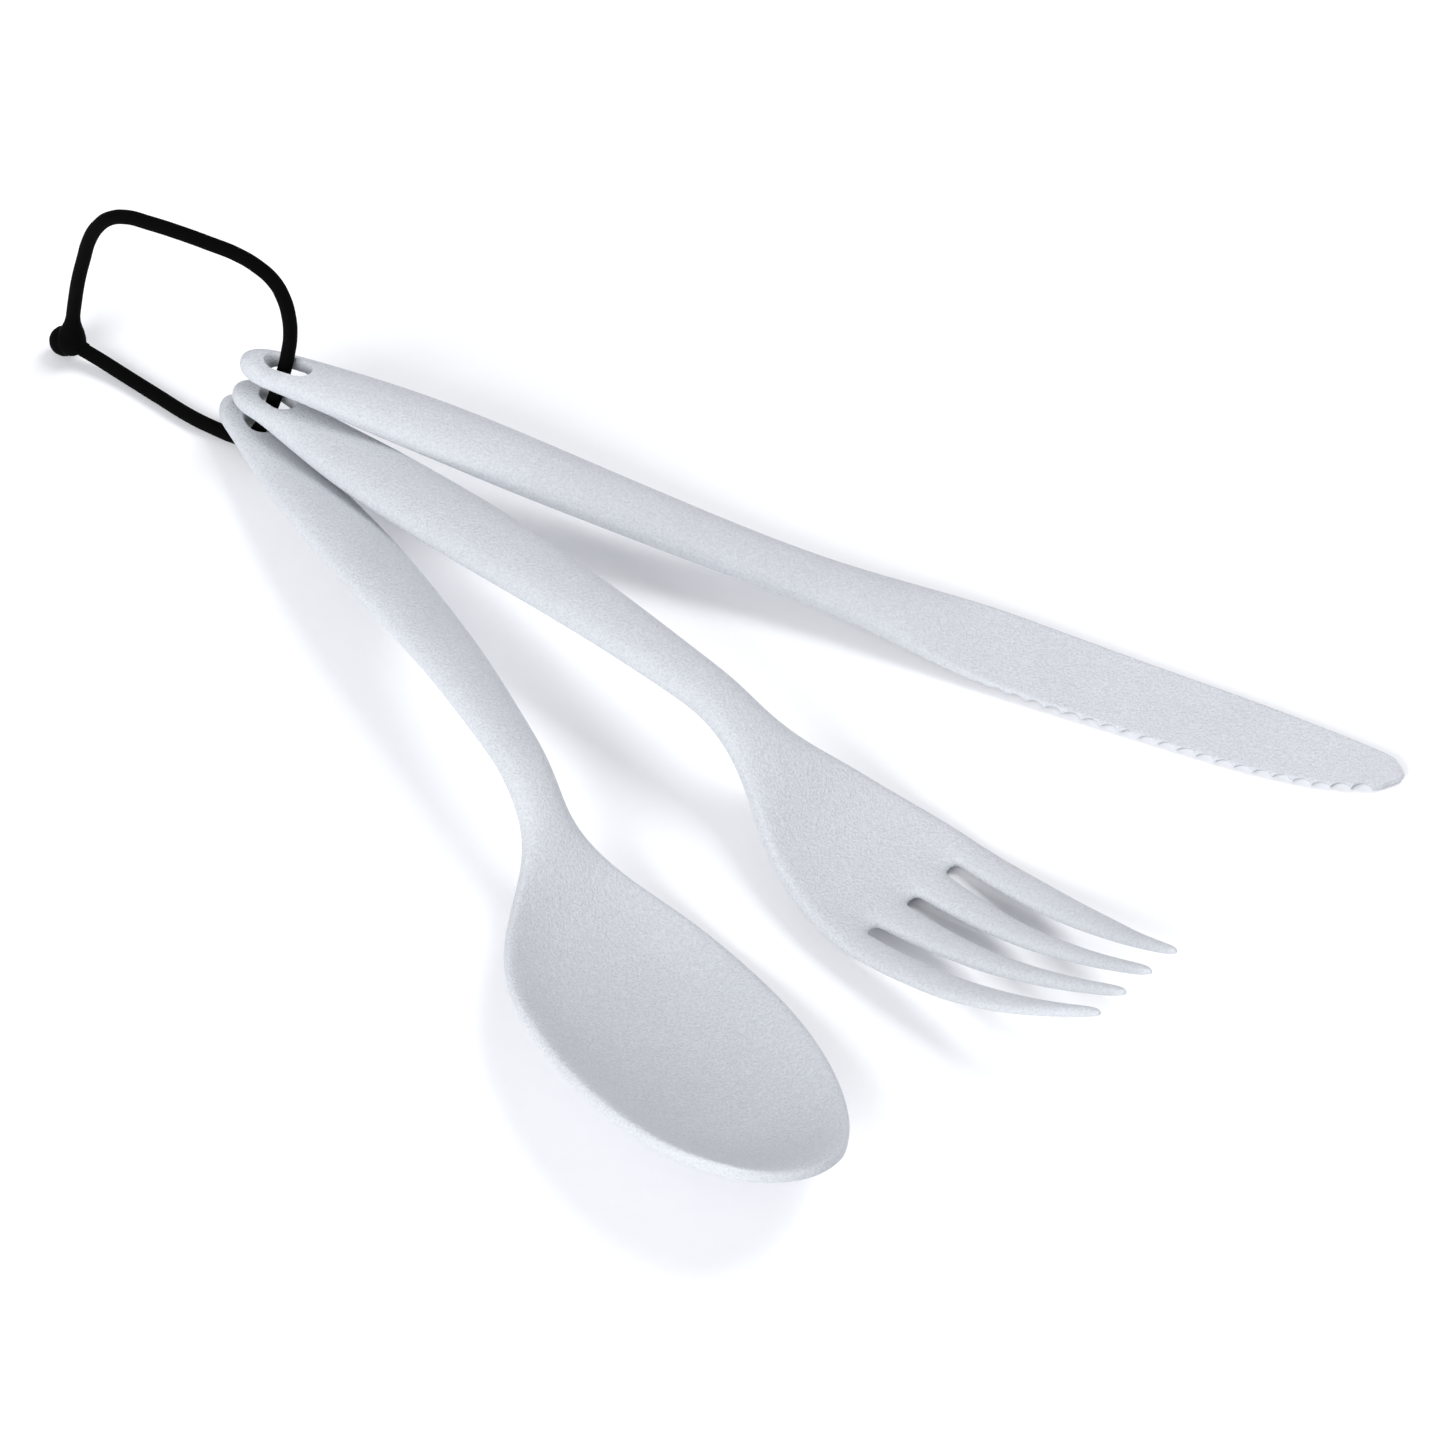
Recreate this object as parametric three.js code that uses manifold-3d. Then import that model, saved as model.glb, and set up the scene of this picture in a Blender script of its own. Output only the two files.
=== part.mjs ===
import * as THREE from 'three';
import { mergeVertices } from 'three/addons/utils/BufferGeometryUtils.js';
import Module from 'manifold-3d';

// A travel cutlery set: a moulded knife, fork and spoon whose ring ends are stacked and
// threaded on one moulded rubber loop. Millimetres, Z up, the set lies on the plane Z = 0.

// Overall lengths, from the round of the handle to the tip
const KNIFE_LENGTH = 187;
const FORK_LENGTH = 179.5;
const SPOON_LENGTH = 179.5;

// Handles: one design, a little narrower on the knife and the spoon
const HANDLE_WIDTH = 12.4;
const KNIFE_HANDLE_WIDTH = 10.4;
const SPOON_HANDLE_WIDTH = 11.8;
const HANDLE_THICKNESS = 5.2;
const HANDLE_ROUNDNESS = 2.3;
const RING_WALL = 1.85;
const RING_NOSE = 5;
const NOSE_DROOP = 1.6;
const RING_THICKNESS = 4.6;
const HOLE_FROM_END = 8;
const HOLE_SLIDE = 3.8;
const HOLE_FLARE = 0.75;
const HOLE_SIDES = 24;

// Necks
const NECK_WIDTH = 8.2;
const SPOON_NECK_WIDTH = 7.4;
const NECK_THICKNESS = 4.6;
const KNIFE_WAIST_WIDTH = 8.6;

// Knife blade
const BLADE_WIDTH = 14.6;
const SPINE_THICKNESS = 2.6;
const EDGE_THICKNESS = 1.3;
const SCALLOP_PITCH = 3;
const SCALLOP_DEPTH = 0.5;
const SCALLOP_RADIUS = 2.4;
const SCALLOP_TILT = THREE.MathUtils.degToRad(35);

// Fork head
const FORK_WIDTH = 30;
const FORK_THICKNESS = 2.4;
const FORK_DISH = 0.7;
const TINE_COUNT = 4;
const TINE_TIP_SPREAD = 16.8;
const TINE_TIP_WIDTH = 1.9;
const TINE_TIP_THICKNESS = 1.7;
const SLOT_BASE_SPACING = 8.7;
const SLOT_BASE_WIDTH = 2.5;

// Spoon bowl
const BOWL_WIDTH = 39;
const BOWL_WALL = 2;
const BOWL_DEPTH = 6;

// Rubber loop, and the holes that it runs through with room to lean
const CORD_DIAMETER = 2.4;
const CORD_CLEARANCE = 1.1;
const HOLE_WIDTH = CORD_DIAMETER + CORD_CLEARANCE;
const HOLE_LENGTH = HOLE_WIDTH + HOLE_SLIDE;
const RING_WIDTH = HOLE_WIDTH + RING_WALL * 2;
const BALL_DIAMETER = 4.2;
const BALL_NECK_DIAMETER = 1.5;
const EYE_WALL = 1.8;

// Fits
const SEAT_GAP = 0.3;
const STRAND_GAP = 0.6;

// How the set lies: where each hole's centre is in plan, the way each handle points and
// how far it is rolled about its own length
const KNIFE_HOLE = [-66.4, 56.2];
const FORK_HOLE = [-68.9, 54.4];
const SPOON_HOLE = [-72.6, 54.8];
const KNIFE_HEADING = THREE.MathUtils.degToRad(-21.8);
const FORK_HEADING = THREE.MathUtils.degToRad(-42.5);
const SPOON_HEADING = THREE.MathUtils.degToRad(-61.4);
const FORK_ROLL = THREE.MathUtils.degToRad(-6);
const SPOON_ROLL = THREE.MathUtils.degToRad(-16);
const ROLL_ROOM = 0.35;

// Stack of ring ends, each centre above the plane that the set lies on
const SPOON_RING_HEIGHT = CORD_DIAMETER + STRAND_GAP + RING_THICKNESS / 2;
const FORK_RING_HEIGHT = SPOON_RING_HEIGHT + RING_THICKNESS + SEAT_GAP + ROLL_ROOM;
const KNIFE_RING_HEIGHT = FORK_RING_HEIGHT + RING_THICKNESS + SEAT_GAP + ROLL_ROOM;

// How far along the fork and the spoon each comes out from under the handle above it
const crossing = (widthA, widthB, headingA, headingB) =>
  HOLE_FROM_END + (widthA + widthB) / 2 / Math.sin(Math.abs(headingA - headingB));
const FORK_CLEAR = crossing(HANDLE_WIDTH, KNIFE_HANDLE_WIDTH, FORK_HEADING, KNIFE_HEADING);
const SPOON_CLEAR = crossing(SPOON_HANDLE_WIDTH, HANDLE_WIDTH, SPOON_HEADING, FORK_HEADING);

// Where each section has its points, as shares of the half width
const ACROSS = [1, 0.985, 0.93, 0.78, 0.5, 0.18, -0.18, -0.5, -0.78, -0.93, -0.985, -1];
const TINE_ACROSS = [1, 0.9, 0.5, -0.5, -0.9, -1];
const STATION_STEP = 5.5;

const wasm = await Module();
wasm.setup();

function toSolid(geometry) {
  const bare = geometry.index ? geometry.clone() : geometry;
  bare.deleteAttribute('normal');
  bare.deleteAttribute('uv');
  const merged = mergeVertices(bare, 1e-5);
  return new wasm.Manifold(new wasm.Mesh({
    numProp: 3,
    vertProperties: new Float32Array(merged.attributes.position.array),
    triVerts: new Uint32Array(merged.index.array),
  }));
}

function toGeometry(solid) {
  const mesh = solid.getMesh();
  const geometry = new THREE.BufferGeometry();
  geometry.setAttribute('position', new THREE.BufferAttribute(mesh.vertProperties, 3));
  geometry.setIndex(new THREE.BufferAttribute(mesh.triVerts, 1));
  return geometry;
}

// A curve through [place, value] pairs that never overshoots them
function profile(points) {
  const slope = points.map((point, i) => {
    if (i === 0 || i === points.length - 1) return 0;
    const before = (point[1] - points[i - 1][1]) / (point[0] - points[i - 1][0]);
    const after = (points[i + 1][1] - point[1]) / (points[i + 1][0] - point[0]);
    return before * after <= 0 ? 0 : (2 * before * after) / (before + after);
  });
  return (place) => {
    const last = points.length - 1;
    if (place <= points[0][0]) return points[0][1];
    if (place >= points[last][0]) return points[last][1];
    const i = points.findIndex((point) => point[0] > place) - 1;
    const span = points[i + 1][0] - points[i][0];
    const t = (place - points[i][0]) / span;
    const rise = points[i + 1][1] - points[i][1];
    const blend = t * t * (3 - 2 * t);
    const start = slope[i] * span * t * (1 - t) * (1 - t);
    const finish = slope[i + 1] * span * t * t * (t - 1);
    return points[i][1] + rise * blend + start + finish;
  };
}

// Quarter-round closing factor: 0 at an end, 1 from the radius on
function roundOff(distance, radius) {
  if (distance >= radius) return 1;
  const t = 1 - Math.max(distance, 0) / radius;
  return Math.sqrt(1 - t * t);
}

// Places along a piece: close together in the round ends, evenly spread between
function stations(start, finish, startRound, finishRound, step) {
  const list = [];
  const arc = [0.12, 0.35, 0.6, 0.82];
  arc.forEach((t) => list.push(start + startRound * (1 - Math.cos(t * Math.PI / 2))));
  const from = start + startRound;
  const to = finish - finishRound;
  const count = Math.max(1, Math.round((to - from) / step));
  for (let i = 0; i <= count; i += 1) list.push(from + ((to - from) * i) / count);
  [...arc].reverse().forEach((t) => {
    list.push(finish - finishRound * (1 - Math.cos(t * Math.PI / 2)));
  });
  return list;
}

// A closed body lofted through sections. Each section gives the sideways middle, the
// half widths to the left (+Y) and right, the height of its edge, how deep it is dished
// between its edges, its half thickness, how that grows to the left, and how far it is a
// plate with fully rounded edges rather than an oval.
function loft(places, ends, across, sectionAt) {
  const vertices = [];
  const triangles = [];
  const ringSize = across.length * 2 - 2;
  places.forEach((place) => {
    const section = sectionAt(place);
    for (let i = 0; i < ringSize; i += 1) {
      const over = i < across.length;
      const share = across[over ? i : ringSize - i];
      const reach = share > 0 ? section.left : section.right;
      const y = share * reach;
      const oval = (1 - Math.abs(share) ** HANDLE_ROUNDNESS) ** (1 / HANDLE_ROUNDNESS);
      const fromEdge = (1 - Math.abs(share)) * reach;
      const plate = roundOff(fromEdge, Math.min(section.half, reach));
      const round = THREE.MathUtils.lerp(oval, plate, section.plate);
      const dish = section.dish * (1 - Math.abs(share) ** section.dishPower);
      const wedge = section.wedge * y;
      const half = (section.half + wedge) * round * (over ? 1 : -1);
      vertices.push(place, section.middle + y, section.edge - dish + wedge + half);
    }
  });
  ends.forEach((place) => {
    const section = sectionAt(place);
    vertices.push(place, section.middle, section.edge - section.dish);
  });
  const startCap = places.length * ringSize;
  const finishCap = startCap + 1;
  const lastRing = (places.length - 1) * ringSize;
  for (let i = 0; i < ringSize; i += 1) {
    const next = (i + 1) % ringSize;
    for (let ring = 0; ring < lastRing; ring += ringSize) {
      const upper = ring + ringSize;
      triangles.push(ring + i, ring + next, upper + next);
      triangles.push(ring + i, upper + next, upper + i);
    }
    triangles.push(startCap, next, i);
    triangles.push(finishCap, lastRing + i, lastRing + next);
  }
  const geometry = new THREE.BufferGeometry();
  geometry.setAttribute('position', new THREE.Float32BufferAttribute(vertices, 3));
  geometry.setIndex(triangles);
  return geometry;
}

// The oblong hole through a ring end, opened out on both faces
function ringHole(height) {
  const outline = (grow) => {
    const radius = HOLE_WIDTH / 2 + grow;
    const straight = (HOLE_LENGTH - HOLE_WIDTH) / 2;
    const shape = new THREE.Shape();
    shape.absarc(straight, 0, radius, -Math.PI / 2, Math.PI / 2);
    shape.absarc(-straight, 0, radius, Math.PI / 2, (3 * Math.PI) / 2);
    return shape.getSpacedPoints(HOLE_SIDES).slice(0, HOLE_SIDES);
  };
  const face = RING_THICKNESS / 2;
  const waist = RING_THICKNESS / 10;
  const reach = RING_THICKNESS;
  const flareBeyond = (HOLE_FLARE * (reach - waist)) / (face - waist);
  const levels = [
    [-reach, flareBeyond],
    [-waist, 0],
    [waist, 0],
    [reach, flareBeyond],
  ];
  const vertices = [];
  const triangles = [];
  const size = HOLE_SIDES;
  levels.forEach(([level, grow]) => {
    outline(grow).forEach((point) => vertices.push(point.x, point.y, height + level));
  });
  vertices.push(0, 0, height - reach, 0, 0, height + reach);
  const bottom = levels.length * size;
  const last = (levels.length - 1) * size;
  for (let i = 0; i < size; i += 1) {
    const next = (i + 1) % size;
    for (let ring = 0; ring < last; ring += size) {
      triangles.push(ring + i, ring + next, ring + size + next);
      triangles.push(ring + i, ring + size + next, ring + size + i);
    }
    triangles.push(bottom, next, i);
    triangles.push(bottom + 1, last + i, last + next);
  }
  const geometry = new THREE.BufferGeometry();
  geometry.setAttribute('position', new THREE.Float32BufferAttribute(vertices, 3));
  geometry.setIndex(triangles);
  geometry.translate(HOLE_FROM_END, 0, 0);
  return geometry;
}

// Half width of the handle by distance from its end, up to a neck of the given width
function handleHalfWidth(handleWidth, neckPlace, neckWidth) {
  return profile([
    [0, RING_WIDTH / 2 - 0.6],
    [HOLE_FROM_END, RING_WIDTH / 2],
    [neckPlace * 0.15, RING_WIDTH * 0.35 + handleWidth * 0.15],
    [neckPlace * 0.3, handleWidth * 0.475],
    [neckPlace * 0.46, handleWidth / 2],
    [neckPlace * 0.66, handleWidth * 0.33 + neckWidth * 0.17],
    [neckPlace, neckWidth / 2],
  ]);
}

function handleHalfThickness(neckPlace, neckThickness) {
  return profile([
    [0, RING_THICKNESS / 2],
    [HOLE_FROM_END * 1.6, RING_THICKNESS / 2],
    [neckPlace * 0.35, HANDLE_THICKNESS / 2],
    [neckPlace, neckThickness / 2],
  ]);
}

// Knife: the handle runs into a straight spine, and the blade lies on its lower flank
function knifeSolid() {
  const waist = KNIFE_LENGTH * 0.49;
  const bladeStart = KNIFE_LENGTH * 0.64;
  const handleWidth = handleHalfWidth(KNIFE_HANDLE_WIDTH, waist, KNIFE_WAIST_WIDTH);
  const handleHalf = handleHalfThickness(waist, NECK_THICKNESS);
  const wedge = (SPINE_THICKNESS - EDGE_THICKNESS) / BLADE_WIDTH / 2;
  const bladeHalf = SPINE_THICKNESS / 2 - wedge * BLADE_WIDTH / 2;
  const spine = profile([
    [waist, KNIFE_WAIST_WIDTH / 2],
    [KNIFE_LENGTH * 0.58, BLADE_WIDTH * 0.37],
    [bladeStart, BLADE_WIDTH * 0.45],
    [KNIFE_LENGTH * 0.76, BLADE_WIDTH * 0.39],
    [KNIFE_LENGTH * 0.86, BLADE_WIDTH * 0.32],
    [KNIFE_LENGTH * 0.94, BLADE_WIDTH * 0.23],
    [KNIFE_LENGTH, BLADE_WIDTH * 0.15],
  ]);
  const edge = profile([
    [waist, KNIFE_WAIST_WIDTH / 2],
    [KNIFE_LENGTH * 0.58, BLADE_WIDTH * 0.37],
    [KNIFE_LENGTH * 0.66, BLADE_WIDTH * 0.47],
    [KNIFE_LENGTH * 0.77, BLADE_WIDTH * 0.5],
    [KNIFE_LENGTH * 0.86, BLADE_WIDTH * 0.51],
    [KNIFE_LENGTH * 0.94, BLADE_WIDTH * 0.43],
    [KNIFE_LENGTH * 0.98, BLADE_WIDTH * 0.27],
    [KNIFE_LENGTH, BLADE_WIDTH * 0.2],
  ]);
  const bladeShare = profile([[waist * 1.1, 0], [bladeStart * 1.04, 1]]);
  const half = (place) => THREE.MathUtils.lerp(handleHalf(place), bladeHalf, bladeShare(place));
  const ringUnder = KNIFE_RING_HEIGHT - RING_THICKNESS / 2;
  const under = profile([
    [0, ringUnder + 0.2],
    [HOLE_FROM_END, ringUnder],
    [FORK_CLEAR * 0.7, ringUnder * 0.85],
    [KNIFE_LENGTH * 0.3, ringUnder * 0.54],
    [KNIFE_LENGTH * 0.45, ringUnder * 0.27],
    [KNIFE_LENGTH * 0.6, ringUnder * 0.1],
    [KNIFE_LENGTH * 0.74, ringUnder * 0.02],
    [KNIFE_LENGTH * 0.82, 0],
  ]);
  const tipRound = 3;
  const sectionAt = (place) => {
    const close = roundOff(place, RING_NOSE) * roundOff(KNIFE_LENGTH - place, tipRound);
    const thin = roundOff(place, RING_THICKNESS / 2) * roundOff(KNIFE_LENGTH - place, bladeHalf);
    const share = bladeShare(place);
    return {
      middle: 0,
      left: close * (place < waist ? handleWidth(place) : spine(place)),
      right: close * (place < waist ? handleWidth(place) : edge(place)),
      edge: under(place) + half(place),
      dish: 0,
      dishPower: 2,
      half: half(place) * thin,
      wedge: wedge * share * thin,
      plate: share,
    };
  };
  const places = stations(0, KNIFE_LENGTH, RING_NOSE, tipRound, STATION_STEP);
  let solid = toSolid(loft(places, [0, KNIFE_LENGTH], ACROSS, sectionAt));
  solid = solid.subtract(toSolid(ringHole(KNIFE_RING_HEIGHT)));

  // Scallops of the cutting edge, each a tilted round cut that bites the upper flank
  const cutterLength = EDGE_THICKNESS * 7;
  const first = KNIFE_LENGTH * 0.655;
  const count = Math.floor((KNIFE_LENGTH * 0.985 - first) / SCALLOP_PITCH);
  for (let i = 0; i <= count; i += 1) {
    const place = first + i * SCALLOP_PITCH;
    const cutter = new THREE.CylinderGeometry(SCALLOP_RADIUS, SCALLOP_RADIUS, cutterLength, 20);
    cutter.rotateX(Math.PI / 2 + SCALLOP_TILT);
    const edgeMiddle = EDGE_THICKNESS / 2;
    const slopeIn = (edge(place + 1) - edge(place - 1)) / 2;
    const out = edge(place) * roundOff(KNIFE_LENGTH - place, tipRound);
    const shift = SCALLOP_RADIUS / Math.cos(SCALLOP_TILT) - SCALLOP_DEPTH;
    const lean = Math.hypot(1, slopeIn);
    cutter.translate(place + (slopeIn * shift) / lean, -out - shift / lean, edgeMiddle);
    solid = solid.subtract(toSolid(cutter));
  }
  return solid;
}

// Fork: a cranked neck, a shallow dished head and four tines that curve up
function forkSolid() {
  const neck = FORK_LENGTH * 0.57;
  const slotBase = FORK_LENGTH * 0.772;
  const handleWidth = handleHalfWidth(HANDLE_WIDTH, neck, NECK_WIDTH);
  const handleHalf = handleHalfThickness(neck, NECK_THICKNESS);
  const headWidth = profile([
    [neck, NECK_WIDTH / 2],
    [FORK_LENGTH * 0.605, FORK_WIDTH * 0.175],
    [FORK_LENGTH * 0.64, FORK_WIDTH * 0.285],
    [FORK_LENGTH * 0.7, FORK_WIDTH * 0.432],
    [FORK_LENGTH * 0.765, FORK_WIDTH * 0.5],
    [FORK_LENGTH * 0.84, FORK_WIDTH * 0.486],
    [FORK_LENGTH * 0.92, FORK_WIDTH * 0.42],
    [FORK_LENGTH, TINE_TIP_SPREAD / 2 + TINE_TIP_WIDTH / 2],
  ]);
  const half = profile([
    [neck, NECK_THICKNESS / 2],
    [FORK_LENGTH * 0.7, FORK_THICKNESS / 2],
    [FORK_LENGTH * 0.85, FORK_THICKNESS / 2],
    [FORK_LENGTH, TINE_TIP_THICKNESS / 2],
  ]);
  const edge = profile([
    [0, FORK_RING_HEIGHT - NOSE_DROOP],
    [HOLE_FROM_END, FORK_RING_HEIGHT - 0.1],
    [FORK_CLEAR * 0.45, FORK_RING_HEIGHT + 0.1],
    [FORK_CLEAR * 0.75, FORK_RING_HEIGHT + 1],
    [FORK_LENGTH * 0.3, 13.9],
    [FORK_LENGTH * 0.45, 15.4],
    [FORK_LENGTH * 0.545, 15.2],
    [FORK_LENGTH * 0.62, 9.8],
    [FORK_LENGTH * 0.7, 4.0],
    [FORK_LENGTH * 0.765, 2.8],
    [FORK_LENGTH * 0.86, 5.6],
    [FORK_LENGTH * 0.93, 10.2],
    [FORK_LENGTH, 17.2],
  ]);
  const dish = profile([
    [FORK_LENGTH * 0.6, 0],
    [FORK_LENGTH * 0.7, FORK_DISH],
    [FORK_LENGTH * 0.84, FORK_DISH],
    [FORK_LENGTH * 0.95, 0],
  ]);
  const plate = profile([[neck, 0], [FORK_LENGTH * 0.7, 1]]);
  const headEnd = slotBase + 1.2;
  const sectionAt = (place) => {
    const handle = place < neck;
    const close = roundOff(place, RING_NOSE);
    const thin = roundOff(place, RING_THICKNESS / 2);
    const width = handle ? handleWidth(place) : headWidth(place);
    return {
      middle: 0,
      left: width * close,
      right: width * close,
      edge: edge(place),
      dish: dish(place),
      dishPower: 2,
      half: (handle ? handleHalf(place) : half(place)) * thin,
      wedge: 0,
      plate: plate(place),
    };
  };
  const places = stations(0, headEnd, RING_NOSE, 0.6, STATION_STEP * 0.8);
  let solid = toSolid(loft(places, [0, headEnd], ACROSS, sectionAt));
  solid = solid.subtract(toSolid(ringHole(edge(HOLE_FROM_END))));

  // Tines: each runs between two slot walls, which close in towards the tips
  const slotCount = TINE_COUNT - 1;
  const tineGap = TINE_TIP_SPREAD / slotCount;
  const slotWall = (place, slot, side) => {
    const t = (place - slotBase) / (FORK_LENGTH - slotBase);
    const middle = THREE.MathUtils.lerp(SLOT_BASE_SPACING, tineGap, t) * (slot - slotCount / 2 + 0.5);
    const width = THREE.MathUtils.lerp(SLOT_BASE_WIDTH, tineGap - TINE_TIP_WIDTH, t ** 0.8);
    return middle + (side * width) / 2;
  };
  const root = slotBase - FORK_THICKNESS * 2;
  for (let tine = 0; tine < TINE_COUNT; tine += 1) {
    const tineSection = (place) => {
      const at = Math.max(place, slotBase);
      const low = tine === 0 ? -headWidth(place) : slotWall(at, tine - 1, 1);
      const high = tine === slotCount ? headWidth(place) : slotWall(at, tine, -1);
      const middle = (low + high) / 2;
      const share = Math.abs(middle) / headWidth(place);
      const tipRound = roundOff(FORK_LENGTH - place, TINE_TIP_WIDTH);
      const rootRound = roundOff(place - root, 1);
      return {
        middle,
        left: ((high - low) / 2) * tipRound * rootRound,
        right: ((high - low) / 2) * tipRound * rootRound,
        edge: edge(place) - dish(place) * (1 - share ** 2),
        dish: 0,
        dishPower: 2,
        half: half(place) * tipRound * rootRound * 0.98,
        wedge: 0,
        plate: 0.3,
      };
    };
    const tinePlaces = stations(root, FORK_LENGTH, 1, TINE_TIP_WIDTH, STATION_STEP * 0.8);
    solid = solid.add(toSolid(loft(tinePlaces, [root, FORK_LENGTH], TINE_ACROSS, tineSection)));
  }
  return { solid, ringHeight: edge(HOLE_FROM_END) };
}

// Spoon: a cranked neck that widens into an egg-shaped bowl of even wall
function spoonSolid() {
  const neck = SPOON_LENGTH * 0.57;
  const widest = SPOON_LENGTH * 0.8;
  const handleWidth = handleHalfWidth(SPOON_HANDLE_WIDTH, neck, SPOON_NECK_WIDTH);
  const handleHalf = handleHalfThickness(neck, NECK_THICKNESS);
  const headWidth = profile([
    [neck, SPOON_NECK_WIDTH / 2],
    [SPOON_LENGTH * 0.6, BOWL_WIDTH * 0.145],
    [SPOON_LENGTH * 0.64, BOWL_WIDTH * 0.29],
    [SPOON_LENGTH * 0.68, BOWL_WIDTH * 0.405],
    [SPOON_LENGTH * 0.73, BOWL_WIDTH * 0.472],
    [widest, BOWL_WIDTH * 0.5],
  ]);
  const tipClose = (place) => {
    const t = Math.min(1, Math.max(0, (place - widest) / (SPOON_LENGTH - widest)));
    return (1 - t ** 2) ** 0.5;
  };
  const half = profile([
    [neck, NECK_THICKNESS / 2],
    [SPOON_LENGTH * 0.66, BOWL_WALL / 2],
  ]);
  const edge = profile([
    [0, SPOON_RING_HEIGHT - NOSE_DROOP * 0.6],
    [HOLE_FROM_END, SPOON_RING_HEIGHT - 0.1],
    [SPOON_CLEAR * 0.3, SPOON_RING_HEIGHT + 0.3],
    [SPOON_CLEAR * 0.62, SPOON_RING_HEIGHT + 2.6],
    [SPOON_LENGTH * 0.3, 11.9],
    [SPOON_LENGTH * 0.43, 14.2],
    [SPOON_LENGTH * 0.52, 13.9],
    [SPOON_LENGTH * 0.58, 9.5],
    [SPOON_LENGTH * 0.65, 4.2],
    [SPOON_LENGTH * 0.7, 3.7],
    [SPOON_LENGTH * 0.76, 5.0],
    [SPOON_LENGTH * 0.83, 7.0],
    [SPOON_LENGTH * 0.92, 9.8],
    [SPOON_LENGTH, 13.6],
  ]);
  const dish = profile([
    [neck, 0],
    [SPOON_LENGTH * 0.65, BOWL_DEPTH * 0.25],
    [SPOON_LENGTH * 0.72, BOWL_DEPTH * 0.62],
    [SPOON_LENGTH * 0.82, BOWL_DEPTH],
    [SPOON_LENGTH * 0.92, BOWL_DEPTH * 0.82],
    [SPOON_LENGTH, 0],
  ]);
  const plate = profile([[neck, 0], [SPOON_LENGTH * 0.66, 1]]);
  const sectionAt = (place) => {
    const handle = place < neck;
    const close = roundOff(place, RING_NOSE) * tipClose(place);
    const thin = roundOff(place, RING_THICKNESS / 2) * roundOff(SPOON_LENGTH - place, BOWL_WALL / 2);
    const width = handle ? handleWidth(place) : headWidth(place);
    return {
      middle: 0,
      left: width * close,
      right: width * close,
      edge: edge(place),
      dish: dish(place),
      dishPower: 2.2,
      half: (handle ? handleHalf(place) : half(place)) * thin,
      wedge: 0,
      plate: plate(place),
    };
  };
  const tipLength = (SPOON_LENGTH - widest) * 0.6;
  const places = stations(0, SPOON_LENGTH, RING_NOSE, tipLength, STATION_STEP * 0.8);
  let solid = toSolid(loft(places, [0, SPOON_LENGTH], ACROSS, sectionAt));
  solid = solid.subtract(toSolid(ringHole(edge(HOLE_FROM_END))));
  return { solid, ringHeight: edge(HOLE_FROM_END) };
}

// The rubber loop: its route in the lying set, from the eye up, round and down through
// the three holes, then back along the ground to the shoulder behind the ball
const CORD_ROUTE = [
  [-101.1, 75.1, 6.4],
  [-100.8, 75.1, 8.8],
  [-100.2, 74.9, 12.6],
  [-99.3, 74.4, 17.6],
  [-98.1, 73.9, 22.7],
  [-96.8, 73.2, 27.7],
  [-95.2, 72.4, 31.4],
  [-93.1, 71.4, 34.2],
  [-90.4, 70.1, 35.8],
  [-86.9, 68.3, 36.4],
  [-82.0, 65.9, 36.7],
  [-77.5, 63.6, 36.8],
  [-73.4, 61.5, 36.7],
  [-70.2, 59.6, 36.0],
  [-67.8, 58.2, 34.3],
  [-66.4, 57.3, 31.4],
  [-65.8, 56.9, 27.8],
  [-65.8, 56.9, 23.8],
  [-66.3, 57.2, 20.0],
  [-67.2, 56.7, 15.9],
  [-68.2, 55.75, 13.2],
  [-69.2, 54.75, 10.6],
  [-70.4, 54.1, 8.0],
  [-71.9, 53.9, 5.3],
  [-73.5, 54.8, 3.0],
  [-75.6, 56.6, 1.65],
  [-78.5, 58.5, 1.3],
  [-82.4, 61.0, 1.3],
  [-87.4, 65.0, 1.3],
  [-92.8, 69.3, 1.4],
  [-97.3, 72.4, 2.1],
  [-100, 73.9, 2.8],
];
const CORD_STEPS = 74;
const CORD_SIDES = 8;

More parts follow.
